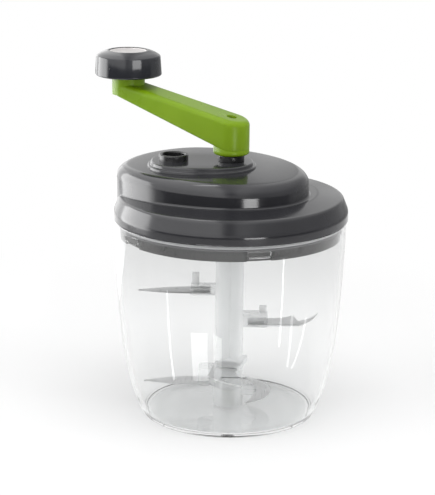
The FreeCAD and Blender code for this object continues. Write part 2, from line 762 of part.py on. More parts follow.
def make_knob():
    """Grip that spins on its pin: side, domed slope and flat top with a recess for the cap."""
    shoulder_z = knob_floor + knob_side
    slope_mid = ((knob_shoulder_r + knob_top_r) / 2 + knob_bulge, (shoulder_z + knob_top) / 2 + knob_bulge)
    edges = [Part.makeLine(point(0, 0, knob_floor), point(knob_r, 0, knob_floor)),
             Part.makeLine(point(knob_r, 0, knob_floor), point(knob_shoulder_r, 0, shoulder_z)),
             Part.Arc(point(knob_shoulder_r, 0, shoulder_z), point(slope_mid[0], 0, slope_mid[1]),
                      point(knob_top_r, 0, knob_top)).toShape(),
             Part.makeLine(point(knob_top_r, 0, knob_top), point(0, 0, knob_top)),
             Part.makeLine(point(0, 0, knob_top), point(0, 0, knob_floor))]
    body = round_edges(turned(edges), knob_edge_r,
                       lambda e: lies_at(knob_floor)(e) or lies_at(shoulder_z)(e))
    cavity_top = knob_floor + knob_side - knob_wall
    body = body.cut(tube(knob_shoulder_r - knob_wall, knob_sleeve_r, knob_floor - 1, cavity_top))
    cap_seat = knob_top - knob_cap_thick - knob_cap_inset
    body = body.cut(cylinder(knob_cap_r + seat_gap, cap_seat, knob_top + 1))
    body = body.cut(cylinder(knob_washer_r + free_gap, sleeve_top, knob_top))
    body = body.cut(cylinder(knob_pin_r + running_gap, knob_floor - 1, sleeve_top + 1))
    return shift(body, knob_x, knob_y)


def make_knob_cap():
    bottom = knob_top - knob_cap_thick - knob_cap_inset
    disc = cylinder(knob_cap_r, bottom, bottom + knob_cap_thick, knob_x, knob_y)
    return round_edges(disc, knob_cap_thick / 4, lies_at(bottom + knob_cap_thick))


# ---- blade unit -------------------------------------------------------------
def arc(start, middle, end):
    return Part.Arc(point(*start), point(*middle), point(*end)).toShape()


def line(start, end):
    return Part.makeLine(point(*start), point(*end))


def bowed(start, end, bow):
    """Arc whose middle lies bow to the right of the straight line from start to end."""
    run_x, run_y = end[0] - start[0], end[1] - start[1]
    length = math.hypot(run_x, run_y)
    middle = ((start[0] + end[0]) / 2 + bow * run_y / length, (start[1] + end[1]) / 2 - bow * run_x / length)
    return arc(start, middle, end)


def blade_plate(edges, blade_z):
    plate = Part.Face(Part.Wire(edges)).extrude(up * blade_thick)
    return shift(plate, z=blade_z - blade_thick / 2)


def straight_blade(reach, blade_z):
    """Blade towards +X whose nearly straight edge and curved edge meet in a point."""
    tip = (reach, 0)
    root_low, root_high = (blade_root, -straight_back), (blade_root, straight_front)
    low_bend, high_bend = (arm_reach, -straight_back), (arm_reach, straight_front)
    return blade_plate([line(high_bend, root_high), line(root_high, root_low), line(root_low, low_bend),
                        bowed(low_bend, tip, straight_bow), bowed(tip, high_bend, straight_bow)], blade_z)


def swept_blade(reach, sweep, blade_z):
    """Sickle towards +X whose tip sweeps back, with two scallops and a tooth between them."""
    tip = (reach, sweep)
    root_low, root_high = (blade_root, -swept_front), (blade_root, swept_back)
    shoulder = (arm_reach, swept_back)
    bend = (reach - swept_tip, -0.7 * swept_front)
    cusp = ((arm_reach + reach) / 2, swept_back + blade_cusp)
    notch = (cusp[0] + notch_step, swept_back - notch_depth)
    return blade_plate([line(shoulder, root_high), line(root_high, root_low), line(root_low, bend),
                        bowed(bend, tip, swept_bow), bowed(tip, notch, -swept_bow),
                        line(notch, cusp), bowed(cusp, shoulder, -swept_bow)], blade_z)


def hook_blade(blade_z):
    """Crescent round the shaft, centred on +X, pointed at both ends."""
    half = math.radians(hook_angle)
    first = (hook_r * math.cos(half), -hook_r * math.sin(half))
    last = (hook_r * math.cos(half), hook_r * math.sin(half))
    return blade_plate([arc(first, (hook_r, 0), last), arc(last, (hook_r - hook_width, 0), first)], blade_z)


def make_blades():
    return {
        "blade_upper": turn(straight_blade(upper_reach, upper_blade_z), 180),
        "blade_middle": swept_blade(middle_reach, middle_sweep, middle_blade_z),
        "blade_front": turn(swept_blade(front_reach, front_sweep, front_blade_z), front_heading),
        "blade_lower": turn(straight_blade(lower_reach, lower_blade_z), 180),
        "blade_hook": hook_blade(hook_blade_z),
    }


def arm_block(reach, low_y, high_y, blade_z, above, tab_rise=0):
    """Arm from the shaft towards +X that grips a blade's root, with an optional latch tab."""
    low, high = blade_z - blade_thick / 2 - arm_below, blade_z + blade_thick / 2 + above
    block = Part.makeBox(reach, high_y - low_y, high - low, point(0, low_y, low))
    block = round_edges(block, (high_y - low_y) / 6,
                        lambda e: e.BoundBox.ZLength > high - low - 0.01 and e.BoundBox.XMin > reach - 0.01)
    if tab_rise:
        tab_x, tab_y = reach - arm_tab - arm_tab_inset, (low_y + high_y - arm_tab) / 2
        block = block.fuse(Part.makeBox(arm_tab, arm_tab, tab_rise + 1, point(tab_x, tab_y, high - 1)))
    return block


def make_blade_shaft(blades):
    body = cylinder(shaft_r, shaft_bottom + foot_height, shaft_top)
    straight_span = (-straight_back - arm_cover, arm_front)
    swept_span = (-arm_front, swept_back + arm_cover)
    upper = arm_block(arm_reach, *straight_span, upper_blade_z, upper_arm_above, upper_tab_rise)
    middle = arm_block(arm_reach, *swept_span, middle_blade_z, middle_arm_above, middle_tab_rise)
    front = arm_block(arm_reach, *swept_span, front_blade_z, front_arm_above)
    lower = arm_block(lower_arm_reach, *straight_span, lower_blade_z, lower_arm_above)
    for arm, angle in ((upper, 180), (middle, 0), (front, front_heading), (lower, 180)):
        body = body.fuse(turn(arm, angle))
    for name in ("blade_upper", "blade_middle", "blade_front", "blade_lower"):
        body = body.cut(blades[name])
    body = body.cut(cylinder(shaft_bore_r, shaft_bottom, shaft_top - shaft_plug))
    return body.cut(hexagon(spindle_hex + 2 * free_gap, shaft_bottom, shaft_top + 1))


def make_shaft_foot(blades):
    top = shaft_bottom + foot_height
    body = cylinder(foot_r, shaft_bottom, top)
    body = body.fuse(cylinder(shaft_bore_r - seat_gap, top - 1, top + foot_spigot))
    reach = hook_r - hook_width + hook_arm_grip
    body = body.fuse(arm_block(reach, -hook_arm_half, hook_arm_half, hook_blade_z, hook_arm_above))
    body = body.cut(blades["blade_hook"])
    return body.cut(cylinder(pivot_pin_r + running_gap + foot_bush_wall, shaft_bottom - 1, top + foot_spigot + 1))


def make_foot_bush():
    inner_r = pivot_pin_r + running_gap
    return tube(inner_r + foot_bush_wall, inner_r, shaft_bottom, shaft_bottom + foot_bush_length)


# ---- build ------------------------------------------------------------------
def build():
    blades = make_blades()
    pieces = {
        "bowl": make_bowl(),
        "foot_pad": make_foot_pad(),
        "pivot_pin": make_pivot_pin(),
        "lid_seal": make_lid_seal(),
        "lid_cover": make_lid_cover(),
        "inner_lid": make_inner_lid(),
        "lid_screws": Part.makeCompound(make_lid_screws()),
        "oval_plate": make_oval_plate(),
        "oval_plate_screws": Part.makeCompound(make_oval_screws()),
        "pour_tube": make_pour_tube(),
        "crank_bush": make_crank_bush(),
        "spindle_bush": make_spindle_bush(),
        "planet_pins": Part.makeCompound(make_planet_pins()),
        "ring_gear": make_ring_gear(),
        "sun_gear": make_sun_gear(),
        "drive_spindle": make_spindle(),
        "crank_arm": make_crank_arm(),
        "crank_shaft": make_crank_shaft(),
        "crank_screw": make_crank_screw(),
        "knob_pin": make_knob_pin(),
        "knob_washer": make_knob_washer(),
        "knob_screw": make_knob_screw(),
        "knob": make_knob(),
        "knob_cap": make_knob_cap(),
        "blade_shaft": make_blade_shaft(blades),
        "shaft_foot": make_shaft_foot(blades),
        "foot_bush": make_foot_bush(),
    }
    for index in range(planet_count):
        pieces["planet_gear_%d" % (index + 1)] = make_planet_gear(index)
    pieces.update(blades)
    return pieces


os.makedirs("parts", exist_ok=True)
for name, shape in build().items():
    shape.exportStep("parts/%s.step" % name)
    box = shape.BoundBox
    print("%-18s solids %d valid %s volume %9.1f z %7.2f..%7.2f" % (
        name, len(shape.Solids), shape.isValid(), shape.Volume, box.ZMin, box.ZMax))
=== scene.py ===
import math

import bmesh
import bpy
import numpy as np
from mathutils import Matrix, Vector


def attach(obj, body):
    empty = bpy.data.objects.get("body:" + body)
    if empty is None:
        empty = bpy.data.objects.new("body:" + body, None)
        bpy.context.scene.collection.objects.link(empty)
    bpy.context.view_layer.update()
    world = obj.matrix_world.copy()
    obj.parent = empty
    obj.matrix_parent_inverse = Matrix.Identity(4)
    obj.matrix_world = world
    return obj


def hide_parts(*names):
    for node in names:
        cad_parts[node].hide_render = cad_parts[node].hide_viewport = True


# Crank food chopper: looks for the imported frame. Lengths below are millimetres, meshes are metres.
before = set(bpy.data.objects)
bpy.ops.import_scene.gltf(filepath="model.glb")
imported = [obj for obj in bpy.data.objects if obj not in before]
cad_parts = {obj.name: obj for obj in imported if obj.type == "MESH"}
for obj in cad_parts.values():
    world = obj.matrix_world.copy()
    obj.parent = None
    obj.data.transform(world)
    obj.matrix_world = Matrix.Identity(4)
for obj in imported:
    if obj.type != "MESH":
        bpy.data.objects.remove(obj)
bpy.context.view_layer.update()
metre = 0.001
print("frame loaded,", len(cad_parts), "nodes")


def ringShell(rings, wrap=False):
    # rings[i, j] is point j of ring i; neighbours on both axes make quads, j is closed, i only with wrap
    rowCount, pointCount = rings.shape[:2]
    index = np.arange(rowCount * pointCount).reshape(rowCount, pointCount)
    low = index if wrap else index[:-1]
    high = np.roll(index, -1, 0) if wrap else index[1:]
    quads = np.stack([low, np.roll(low, -1, 1), np.roll(high, -1, 1), high], -1).reshape(-1, 4)
    return rings.reshape(-1, 3), quads


def roundedProfile(corners, radii, steps=6):
    # each corner P with sides a, b: (1-s)^2 A + 2 s (1-s) w P + s^2 B over the weights' sum, w = sin(half angle)
    corner = np.array(corners, float)
    radius = np.array(radii, float)
    back = np.roll(corner, 1, 0) - corner
    ahead = np.roll(corner, -1, 0) - corner
    back /= np.linalg.norm(back, axis=1)[:, None]
    ahead /= np.linalg.norm(ahead, axis=1)[:, None]
    half = np.arccos(np.clip((back * ahead).sum(1), -1, 1)) / 2
    reach = radius / np.tan(np.maximum(half, 1e-3))
    start, end = corner + back * reach[:, None], corner + ahead * reach[:, None]
    share = np.linspace(0, 1, steps + 1)[None, :, None]
    weight = np.sin(half)[:, None, None]
    one, two, three = (1 - share) ** 2, 2 * share * (1 - share) * weight, share ** 2
    arcs = (one * start[:, None] + two * corner[:, None] + three * end[:, None]) / (one + two + three)
    return arcs.reshape(-1, 2)


def fullTurn(count):
    return np.linspace(0, 2 * np.pi, count, endpoint=False)


def circlePoints(radius, angle, x=0.0):
    # (x + r cos t, r sin t)
    return np.stack([x + radius * np.cos(angle), radius * np.sin(angle)], -1)


def polarGrid(r, angle, z, centre=(0.0, 0.0)):
    # points (cx + r cos t, cy + r sin t, z)
    return np.stack([centre[0] + r * np.cos(angle), centre[1] + r * np.sin(angle), z + 0 * angle], -1)


def revolved(profile, count=160, centre=(0.0, 0.0), wrap=False):
    # a profile of (r, z) turned about the upright line through centre
    return ringShell(polarGrid(profile[:, :1], fullTurn(count), profile[:, 1:], centre), wrap)


def turnedBy(points, degrees):
    # rotation about Z: (x cos a - y sin a, x sin a + y cos a, z)
    a = math.radians(degrees)
    spin = np.array([[math.cos(a), math.sin(a), 0], [-math.sin(a), math.cos(a), 0], [0, 0, 1]])
    return points @ spin


def smoothStep(low, high, value):
    # 3t^2 - 2t^3 with t from 0 at low to 1 at high
    t = np.clip((value - low) / (high - low), 0, 1)
    return t * t * (3 - 2 * t)


def addObject(name, data):
    thing = bpy.data.objects.new(name, data)
    bpy.context.scene.collection.objects.link(thing)
    return thing


def makePiece(name, shells, finish, body, nodeName, sharpAngle=32.0):
    # several closed shells become one object at the origin; poles are merged and faces turned outwards
    joined = bmesh.new()
    for points, faces in shells:
        mesh = bpy.data.meshes.new("part")
        mesh.from_pydata((points * metre).tolist(), [], faces.tolist())
        part = bmesh.new()
        part.from_mesh(mesh)
        bmesh.ops.remove_doubles(part, verts=part.verts, dist=1e-7)
        bmesh.ops.recalc_face_normals(part, faces=part.faces)
        part.to_mesh(mesh)
        part.free()
        joined.from_mesh(mesh)
        bpy.data.meshes.remove(mesh)
    return finishPiece(name, joined, finish, body, nodeName, sharpAngle)


def finishPiece(name, joined, finish, body, nodeName, sharpAngle):
    # smooth up to sharpAngle, with its finish, its body and the solid that it stands for
    mesh = bpy.data.meshes.new(name)
    joined.to_mesh(mesh)
    joined.free()
    mesh.shade_smooth()
    mesh.set_sharp_from_angle(angle=math.radians(sharpAngle))
    mesh.materials.clear()
    mesh.materials.append(materials[finish])
    piece = addObject(name, mesh)
    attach(piece, body)
    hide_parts(nodeName)
    return piece


def refinedNode(name, nodeName, finish, body):
    # a merged copy of a solid's mesh, with normals weighted by face area
    merged = bmesh.new()
    merged.from_mesh(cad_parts[nodeName].data)
    bmesh.ops.remove_doubles(merged, verts=merged.verts, dist=1e-6)
    piece = finishPiece(name, merged, finish, body, nodeName, 30.0)
    weighting = piece.modifiers.new("flatFaces", "WEIGHTED_NORMAL")
    weighting.mode = "FACE_AREA"
    weighting.weight = 60
    weighting.keep_sharp = True


def setSockets(tree, node, inputs):
    # a value goes into its socket, and another node's output is linked to it
    for label, value in inputs.items():
        if isinstance(value, bpy.types.NodeSocket):
            tree.links.new(value, node.inputs[label])
        else:
            node.inputs[label].default_value = value


def addNode(tree, kind, inputs, **options):
    # options are the node's own settings, such as its operation
    node = tree.nodes.new(kind)
    for label, value in options.items():
        setattr(node, label, value)
    setSockets(tree, node, inputs)
    return node


def mathNode(tree, operation, first, second):
    return addNode(tree, "ShaderNodeMath", {0: first, 1: second}, operation=operation).outputs[0]


def mapRange(tree, value, low, high, atLow, atHigh, kind="SMOOTHSTEP"):
    # atLow where value is low or less, atHigh where it is high or more
    limits = {"Value": value, "From Min": low, "From Max": high, "To Min": atLow, "To Max": atHigh}
    return addNode(tree, "ShaderNodeMapRange", limits, interpolation_type=kind).outputs["Result"]


def scaledNoise(tree, place, scale, detail, roughness):
    settings = {"Vector": place, "Scale": scale, "Detail": detail, "Roughness": roughness}
    return addNode(tree, "ShaderNodeTexNoise", settings).outputs["Fac"]


def objectPlace(tree):
    return tree.nodes.new("ShaderNodeTexCoord").outputs["Object"]


def axesOf(tree, vector):
    return addNode(tree, "ShaderNodeSeparateXYZ", {"Vector": vector}).outputs


def mixShaders(tree, share, first, second):
    return addNode(tree, "ShaderNodeMixShader", {0: share, 1: first, 2: second}).outputs["Shader"]


def newGroup(name, inputs):
    # each group gives a height for the bump, a roughness and a shade
    group = bpy.data.node_groups.new(name, "ShaderNodeTree")
    for label, value in inputs.items():
        kind = "NodeSocketVector" if isinstance(value, tuple) else "NodeSocketFloat"
        group.interface.new_socket(name=label, in_out="INPUT", socket_type=kind).default_value = value
    for label in ("Height", "Roughness", "Shade"):
        group.interface.new_socket(name=label, in_out="OUTPUT", socket_type="NodeSocketFloat")
    return group, group.nodes.new("NodeGroupInput").outputs, group.nodes.new("NodeGroupOutput")


def buildMouldedSkin():
    # fine grain for the bump, slow clouds for gloss, and hand marks where the surface is duller
    group, given, result = newGroup("mouldedSkin", {"Grain Scale": 900.0, "Gloss Low": 0.2, "Gloss High": 0.3,
                                                    "Marks": 0.05})
    place = objectPlace(group)
    grain = scaledNoise(group, place, given["Grain Scale"], 2.0, 0.55)
    cloud = scaledNoise(group, place, 26.0, 3.0, 0.5)
    wave = scaledNoise(group, place, 9.0, 1.0, 0.4)
    marks = mapRange(group, scaledNoise(group, place, 95.0, 4.0, 0.65), 0.0, 1.0, -0.8, 1.8, "LINEAR")
    gloss = mapRange(group, cloud, 0.0, 1.0, given["Gloss Low"], given["Gloss High"], "LINEAR")
    duller = mathNode(group, "MULTIPLY", marks, given["Marks"])
    setSockets(group, result, {
        "Height": mathNode(group, "ADD", mathNode(group, "MULTIPLY", grain, 0.25), wave),
        "Roughness": mathNode(group, "ADD", gloss, duller), "Shade": cloud})
    return group


def buildGroundSteel():
    # long thin scratches: noise stretched along the turned X axis, with blotches on top
    group, given, result = newGroup("groundSteel", {"Turn": (0.0, 0.0, 0.0), "Gloss Low": 0.2, "Gloss High": 0.4})
    place = objectPlace(group)
    turn = addNode(group, "ShaderNodeMapping", {"Vector": place, "Rotation": given["Turn"]}, vector_type="TEXTURE")
    stretch = addNode(group, "ShaderNodeMapping", {"Vector": turn.outputs["Vector"], "Scale": (0.06, 1.0, 1.0)})
    scratches = scaledNoise(group, stretch.outputs["Vector"], 1800.0, 3.0, 0.6)
    both = mathNode(group, "ADD", scratches, scaledNoise(group, place, 120.0, 3.0, 0.55))
    setSockets(group, result, {
        "Height": scratches, "Shade": mathNode(group, "MULTIPLY", both, 0.5),
        "Roughness": mapRange(group, scratches, 0.0, 1.0, given["Gloss Low"], given["Gloss High"], "LINEAR")})
    return group


mouldedSkin = buildMouldedSkin()
groundSteel = buildGroundSteel()


def startMaterial(name):
    material = bpy.data.materials.new(name)
    material.use_nodes = True
    tree = material.node_tree
    return material, tree, tree.nodes["Principled BSDF"], tree.nodes["Material Output"]


def skinnedMaterial(name, look, group, own, bumpDepth):
    # colour from dark to light as the group's shade goes from 0.3 to 0.7, with its roughness and bump
    material, tree, shader, output = startMaterial(name)
    low, high = look["gloss"]
    skin = addNode(tree, "ShaderNodeGroup", {"Gloss Low": low, "Gloss High": high, **own}, node_tree=group).outputs
    ramp = addNode(tree, "ShaderNodeValToRGB", {"Fac": skin["Shade"]})
    for stop, place, colour in zip(ramp.color_ramp.elements, (0.3, 0.7), (look["dark"], look["light"])):
        stop.position = place
        stop.color = (*colour, 1)
    bump = addNode(tree, "ShaderNodeBump", {"Height": skin["Height"], "Strength": look["bump"],
                                            "Distance": bumpDepth * metre})
    setSockets(tree, shader, {"Base Color": ramp.outputs["Color"], "Roughness": skin["Roughness"],
                              "Normal": bump.outputs["Normal"]})
    return material, tree, shader, output


def paintHighlightAbove(tree, shader, low, high, colour):
    # painted highlight: the base colour turns into the painted highlight colour from height low to height high, in
    # millimetres
    rise = mapRange(tree, axesOf(tree, objectPlace(tree))["Z"], low * metre, high * metre, 0.0, 1.0)
    plain = shader.inputs["Base Color"].links[0].from_socket
    blend = addNode(tree, "ShaderNodeMixRGB", {"Fac": rise, "Color1": plain, "Color2": (*colour, 1)})
    setSockets(tree, shader, {"Base Color": blend.outputs["Color"]})


def letLightPass(tree, shader, output, look):
    # light passes clear plastic unbent for shadow and diffuse rays, so what is inside stays lit
    setSockets(tree, shader, {"IOR": look["ior"], "Transmission Weight": 1.0})
    rays = tree.nodes.new("ShaderNodeLightPath").outputs
    unbent = mathNode(tree, "MAXIMUM", rays["Is Shadow Ray"], rays["Is Diffuse Ray"])
    passing = addNode(tree, "ShaderNodeBsdfTransparent", {"Color": (*look["passing"], 1)})
    setSockets(tree, output, {"Surface": mixShaders(tree, unbent, shader.outputs["BSDF"], passing.outputs["BSDF"])})


def plasticMaterial(name, look):
    own = {"Grain Scale": look["grain"], "Marks": look["marks"]}
    material, tree, shader, output = skinnedMaterial(name, look, mouldedSkin, own, bumpDepth=0.12)
    setSockets(tree, shader, {"Specular IOR Level": look.get("shine", 0.5), "Alpha": look.get("alpha", 1.0)})
    # a painted highlight above a height
    if "upper" in look:
        paintHighlightAbove(tree, shader, *look["upper"])
    if "passing" in look:
        letLightPass(tree, shader, output, look)
    return material


def steelMaterial(name, look, turnDegrees=0.0):
    own = {"Turn": (0, 0, math.radians(turnDegrees))}
    material, tree, shader, output = skinnedMaterial(name, look, groundSteel, own, bumpDepth=0.05)
    setSockets(tree, shader, {"Metallic": look["metal"]})
    return material


# passing is the tint of light through clear plastic; the painted highlight is given as two heights and the light
# colour painted above them
finishes = {
    "lidGrey": {"dark": (0.021, 0.021, 0.024), "light": (0.027, 0.027, 0.031), "gloss": (0.11, 0.15),
                "marks": 0.03, "grain": 1500.0, "bump": 0.03},
    "trimBlack": {"dark": (0.006, 0.006, 0.007), "light": (0.011, 0.011, 0.012), "gloss": (0.22, 0.28),
                  "marks": 0.04, "grain": 1300.0, "bump": 0.04},
    "knobGrey": {"dark": (0.018, 0.019, 0.023), "light": (0.026, 0.027, 0.032), "gloss": (0.08, 0.11),
                 "marks": 0.03, "grain": 1300.0, "bump": 0.03},
    "skirtGrey": {"dark": (0.016, 0.016, 0.016), "light": (0.06, 0.06, 0.059), "gloss": (0.22, 0.32),
                  "marks": 0.06, "grain": 1100.0, "bump": 0.12},
    "armGreen": {"dark": (0.158, 0.276, 0.005), "light": (0.192, 0.316, 0.008), "gloss": (0.24, 0.3),
                 "marks": 0.04, "grain": 1500.0, "bump": 0.06, "shine": 0.22},
    # the seal's lighter upper lip is a painted highlight, the bright edge of the bowl's rim; the darker grey below
    # it is painted shade
    "sealGrey": {"dark": (0.12, 0.12, 0.125), "light": (0.17, 0.17, 0.175), "gloss": (0.3, 0.4),
                 "marks": 0.05, "grain": 900.0, "bump": 0.1, "alpha": 0.85,
                 "upper": (128.6, 128.9, (0.6, 0.6, 0.61))},
    "padClear": {"dark": (0.86, 0.87, 0.87), "light": (0.94, 0.95, 0.95), "gloss": (0.35, 0.5),
                 "marks": 0.05, "grain": 700.0, "bump": 0.08, "alpha": 0.3},
    "shaftWhite": {"dark": (0.84, 0.85, 0.85), "light": (0.92, 0.93, 0.93), "gloss": (0.22, 0.3),
                   "marks": 0.05, "grain": 1100.0, "bump": 0.06, "alpha": 0.36},
    "nylonWhite": {"dark": (0.66, 0.66, 0.63), "light": (0.76, 0.76, 0.73), "gloss": (0.38, 0.5),
                   "marks": 0.06, "grain": 800.0, "bump": 0.15},
    "bowlClear": {"dark": (0.845, 0.849, 0.849), "light": (0.87, 0.873, 0.873), "gloss": (0.01, 0.024),
                  "marks": 0.01, "grain": 500.0, "bump": 0.03, "ior": 1.49, "passing": (0.93, 0.935, 0.935)},
    "plainSteel": {"dark": (0.42, 0.42, 0.42), "light": (0.6, 0.6, 0.6), "gloss": (0.22, 0.36),
                   "bump": 0.2, "metal": 1.0},
    "capSilver": {"dark": (0.56, 0.53, 0.52), "light": (0.68, 0.65, 0.64), "gloss": (0.16, 0.26),
                  "bump": 0.1, "metal": 0.3},
}

materials = {}
for name, look in finishes.items():
    materials[name] = steelMaterial(name, look) if "metal" in look else plasticMaterial(name, look)
print("materials made")

bowl = {"height": 131.1, "rimRadius": 75.1, "baseRadius": 56.9, "straightShare": 0.12, "curveRate": 3.75,
        "wall": 2.6, "floor": 2.6, "baseLevel": 0.5, "baseEdge": 1.8, "innerCorner": 3.0,
        "bossRadius": 6.5, "bossRise": 0.5, "pinHole": 3.0, "pinDepth": 2.0,
        "padRecess": (53.05, 1.25), "recessSlope": (1.6, 2.6), "recessEdge": 0.8, "rimEdge": 0.42,
        "rimDepth": 0.5, "footTop": 6.0, "outerLow": 7.5, "dishTop": 13.0, "innerLow": 15.0,
        "lugs": 5, "lugTurn": 14.4, "lugAngle": 11.5, "lugHeight": 3.6, "lugDrop": 7.8, "lugReach": 2.1,
        "lugCorner": 1.0, "lugEdge": 0.35}


def bowlRadius(z):
    # R = base + (rim - base) * (k s + (1 - k) (1 - e^(-c s)) / (1 - e^-c)), s the share of the height
    share = (z - bowl["baseLevel"]) / (bowl["height"] - bowl["baseLevel"])
    bend = (1 - np.exp(-bowl["curveRate"] * share)) / (1 - math.exp(-bowl["curveRate"]))
    flare = bowl["straightShare"] * share + (1 - bowl["straightShare"]) * bend
    return bowl["baseRadius"] + (bowl["rimRadius"] - bowl["baseRadius"]) * flare


lugLow = bowl["height"] - bowl["lugDrop"]
lugTip = bowlRadius(lugLow) - bowl["wall"] - bowl["lugReach"]


def bowlAngles():
    # even steps, and finer ones across the two ends of each lug
    even = np.linspace(0, 360, 360, endpoint=False)
    centres = bowl["lugTurn"] - 90 + np.arange(bowl["lugs"]) * 360 / bowl["lugs"]
    ends = centres[:, None] + np.array([-1, 1])[None] * bowl["lugAngle"] / 2
    fine = (ends.reshape(-1, 1) + np.linspace(-1.0, 1.0, 17)[None]).reshape(-1) % 360
    return np.unique(np.round(np.concatenate([even, fine]), 3)), centres


def lugShare(angle, z, centres):
    # 1 inside a rounded rectangle on the wall, 0 outside, with a soft edge; distances in millimetres
    away = (angle[None, :, None] - centres[None, None, :] + 180) % 360 - 180
    across = np.abs(np.radians(away) * lugTip).min(2)
    middle = lugLow + bowl["lugHeight"] / 2
    upward = np.abs(z[:, None] - middle) + 0 * across
    halfWide = math.radians(bowl["lugAngle"] / 2) * lugTip
    qx = across - halfWide + bowl["lugCorner"]
    qy = upward - bowl["lugHeight"] / 2 + bowl["lugCorner"]
    outside = np.hypot(np.maximum(qx, 0), np.maximum(qy, 0)) + np.minimum(np.maximum(qx, qy), 0)
    return smoothStep(bowl["lugEdge"], -bowl["lugEdge"], outside - bowl["lugCorner"])


def bowlShell():
    # an outer and an inner wall of the same flare, joined at the rim, with the lugs raised on the inner one
    angle, centres = bowlAngles()
    low, top, wall, rimR = bowl["baseLevel"], bowl["height"], bowl["wall"], bowl["rimRadius"]
    recessR, recessZ = bowl["padRecess"]
    inside, outside = bowl["recessSlope"]
    foot = roundedProfile([(0, recessZ), (recessR + inside, recessZ), (recessR + outside, low),
                           (bowlRadius(low), low), (bowlRadius(bowl["footTop"]), bowl["footTop"])],
                          [0, bowl["recessEdge"], 0.05, bowl["baseEdge"], 0])
    outerZ = np.linspace(bowl["outerLow"], top - 0.55, 46)
    outer = np.stack([bowlRadius(outerZ), outerZ], -1)
    under = top - bowl["rimDepth"]
    rim = roundedProfile([(bowlRadius(under), under), (rimR, top), (rimR - wall, top),
                          (bowlRadius(under) - wall, under)], [0, bowl["rimEdge"], bowl["rimEdge"], 0])
    lugTop = lugLow + bowl["lugHeight"]
    innerZ = np.concatenate([np.linspace(top - 0.6, lugTop + 0.6, 8), np.linspace(lugTop + 0.45, lugLow - 0.45, 34),
                             np.linspace(lugLow - 0.8, bowl["innerLow"], 44)])
    inner = np.stack([bowlRadius(innerZ) - wall, innerZ], -1)
    floorZ = low + bowl["floor"]
    bossR, bossZ = bowl["bossRadius"], floorZ + bowl["bossRise"]
    pinR, pinZ = bowl["pinHole"], bossZ - bowl["pinDepth"]
    dishZ = bowl["dishTop"]
    dish = roundedProfile([(bowlRadius(dishZ) - wall, dishZ), (bowlRadius(floorZ) - wall, floorZ),
                           (bossR, floorZ), (bossR, bossZ), (pinR, bossZ), (pinR, pinZ), (0, pinZ)],
                          [0, bowl["innerCorner"], 0.2, 0.2, 0.1, 0, 0], 10)
    profile = np.concatenate([foot, outer, rim, inner, dish])
    radius = profile[:, :1] + 0 * angle
    first = len(foot) + len(outer) + len(rim)
    rows = slice(first, first + len(innerZ))
    radius[rows] += (lugTip - radius[rows]) * lugShare(angle, innerZ, centres)
    return ringShell(polarGrid(radius, np.radians(angle), profile[:, 1:]))


makePiece("clearBowl", [bowlShell()], "bowlClear", "bowl", "bowl", 40)
print("bowl made")

pad = {"radius": 53.0, "thick": 1.2, "edge": 0.15, "upperEdge": 1.0, "grooves": (48.0, 45.5), "grooveDepth": 0.25,
       "grooveHalf": 0.6}


def padShell():
    # a flat disc whose lower face has two shallow ring grooves
    (outer, inner), deep, half = pad["grooves"], pad["grooveDepth"], pad["grooveHalf"]
    corners = [(0, 0), (inner - 2 * half, 0), (inner - half, deep), (inner, deep), (inner + half, 0),
               (outer - 2 * half, 0), (outer - half, deep), (outer, deep), (outer + half, 0),
               (pad["radius"], 0), (pad["radius"], pad["thick"]), (0, pad["thick"])]
    return revolved(roundedProfile(corners, [0] + [0.1] * 8 + [pad["edge"], pad["upperEdge"], 0], 5), 144)


makePiece("footPad", [padShell()], "padClear", "bowl", "foot_pad")

seal = {"low": 127.3, "high": 130.1, "gap": 0.3, "width": 1.8, "lip": 0.35}


def sealShell():
    # a ring with two rounded lips towards the bowl's wall
    outer = bowlRadius(seal["low"]) - bowl["wall"] - seal["gap"]
    inner, low, high = outer - seal["width"], seal["low"], seal["high"]
    middle = (low + high) / 2
    waist = outer - seal["lip"]
    corners = [(inner, low), (outer, low), (outer, middle - 0.5), (waist, middle - 0.2), (waist, middle + 0.2),
               (outer, middle + 0.5), (outer, high), (inner, high)]
    return revolved(roundedProfile(corners, [0.3, 0.45, 0.2, 0.15, 0.15, 0.2, 0.45, 0.3], 4), 220, wrap=True)


makePiece("sealRing", [sealShell()], "sealGrey", "seal", "lid_seal")
print("pad and seal made")

lid = {"radius": 76.0, "wall": 2.4, "low": 131.4, "ledge": 148.6, "ledgeFall": 2.6, "ledgeFlat": 56.0,
       "shoulder": 9.0, "bend": (72.4, 146.2), "taperLow": 137.6, "rimRounds": (12.0, 3.0, 8.0), "lowerEdge": 0.5,
       "insideRound": 10.0, "crease": 1.5, "creaseShare": 0.8, "holeRadius": 7.0, "startRadius": 20.0,
       "domeLong": 140.0, "domeWide": 110.0, "domeCentre": (-14.0, 8.5), "domeTurn": -40.0,
       "domeMargin": 0.3, "domeBlend": 40.0, "domeRise": 13.8, "domeShoulder": 7.5, "crown": 3.4, "angles": 288}
domeTop = lid["ledge"] + lid["domeRise"] + lid["crown"]
domeCeiling = lid["ledge"] + lid["domeRise"] - lid["wall"]


def domeReach(angle, margin):
    # distance from the axis to a turned ellipse, held inside the lid's edge: L (1 + (L / t)^n)^(-1/n)
    turn = math.radians(lid["domeTurn"])
    direction = circlePoints(1, angle - turn)
    margin = margin + 0 * angle
    cx, cy = lid["domeCentre"]
    centre = np.array([cx * math.cos(turn) + cy * math.sin(turn), cy * math.cos(turn) - cx * math.sin(turn)])
    half = np.stack([lid["domeLong"] / 2 - margin, lid["domeWide"] / 2 - margin], -1)
    a = ((direction / half) ** 2).sum(-1)
    b = -2 * (direction * centre / half ** 2).sum(-1)
    c = ((centre / half) ** 2).sum(-1) - 1
    reach = (-b + np.sqrt(b * b - 4 * a * c)) / (2 * a)
    limit = lid["radius"] - lid["domeMargin"] - margin
    return limit * (1 + (limit / reach) ** lid["domeBlend"]) ** (-1 / lid["domeBlend"])


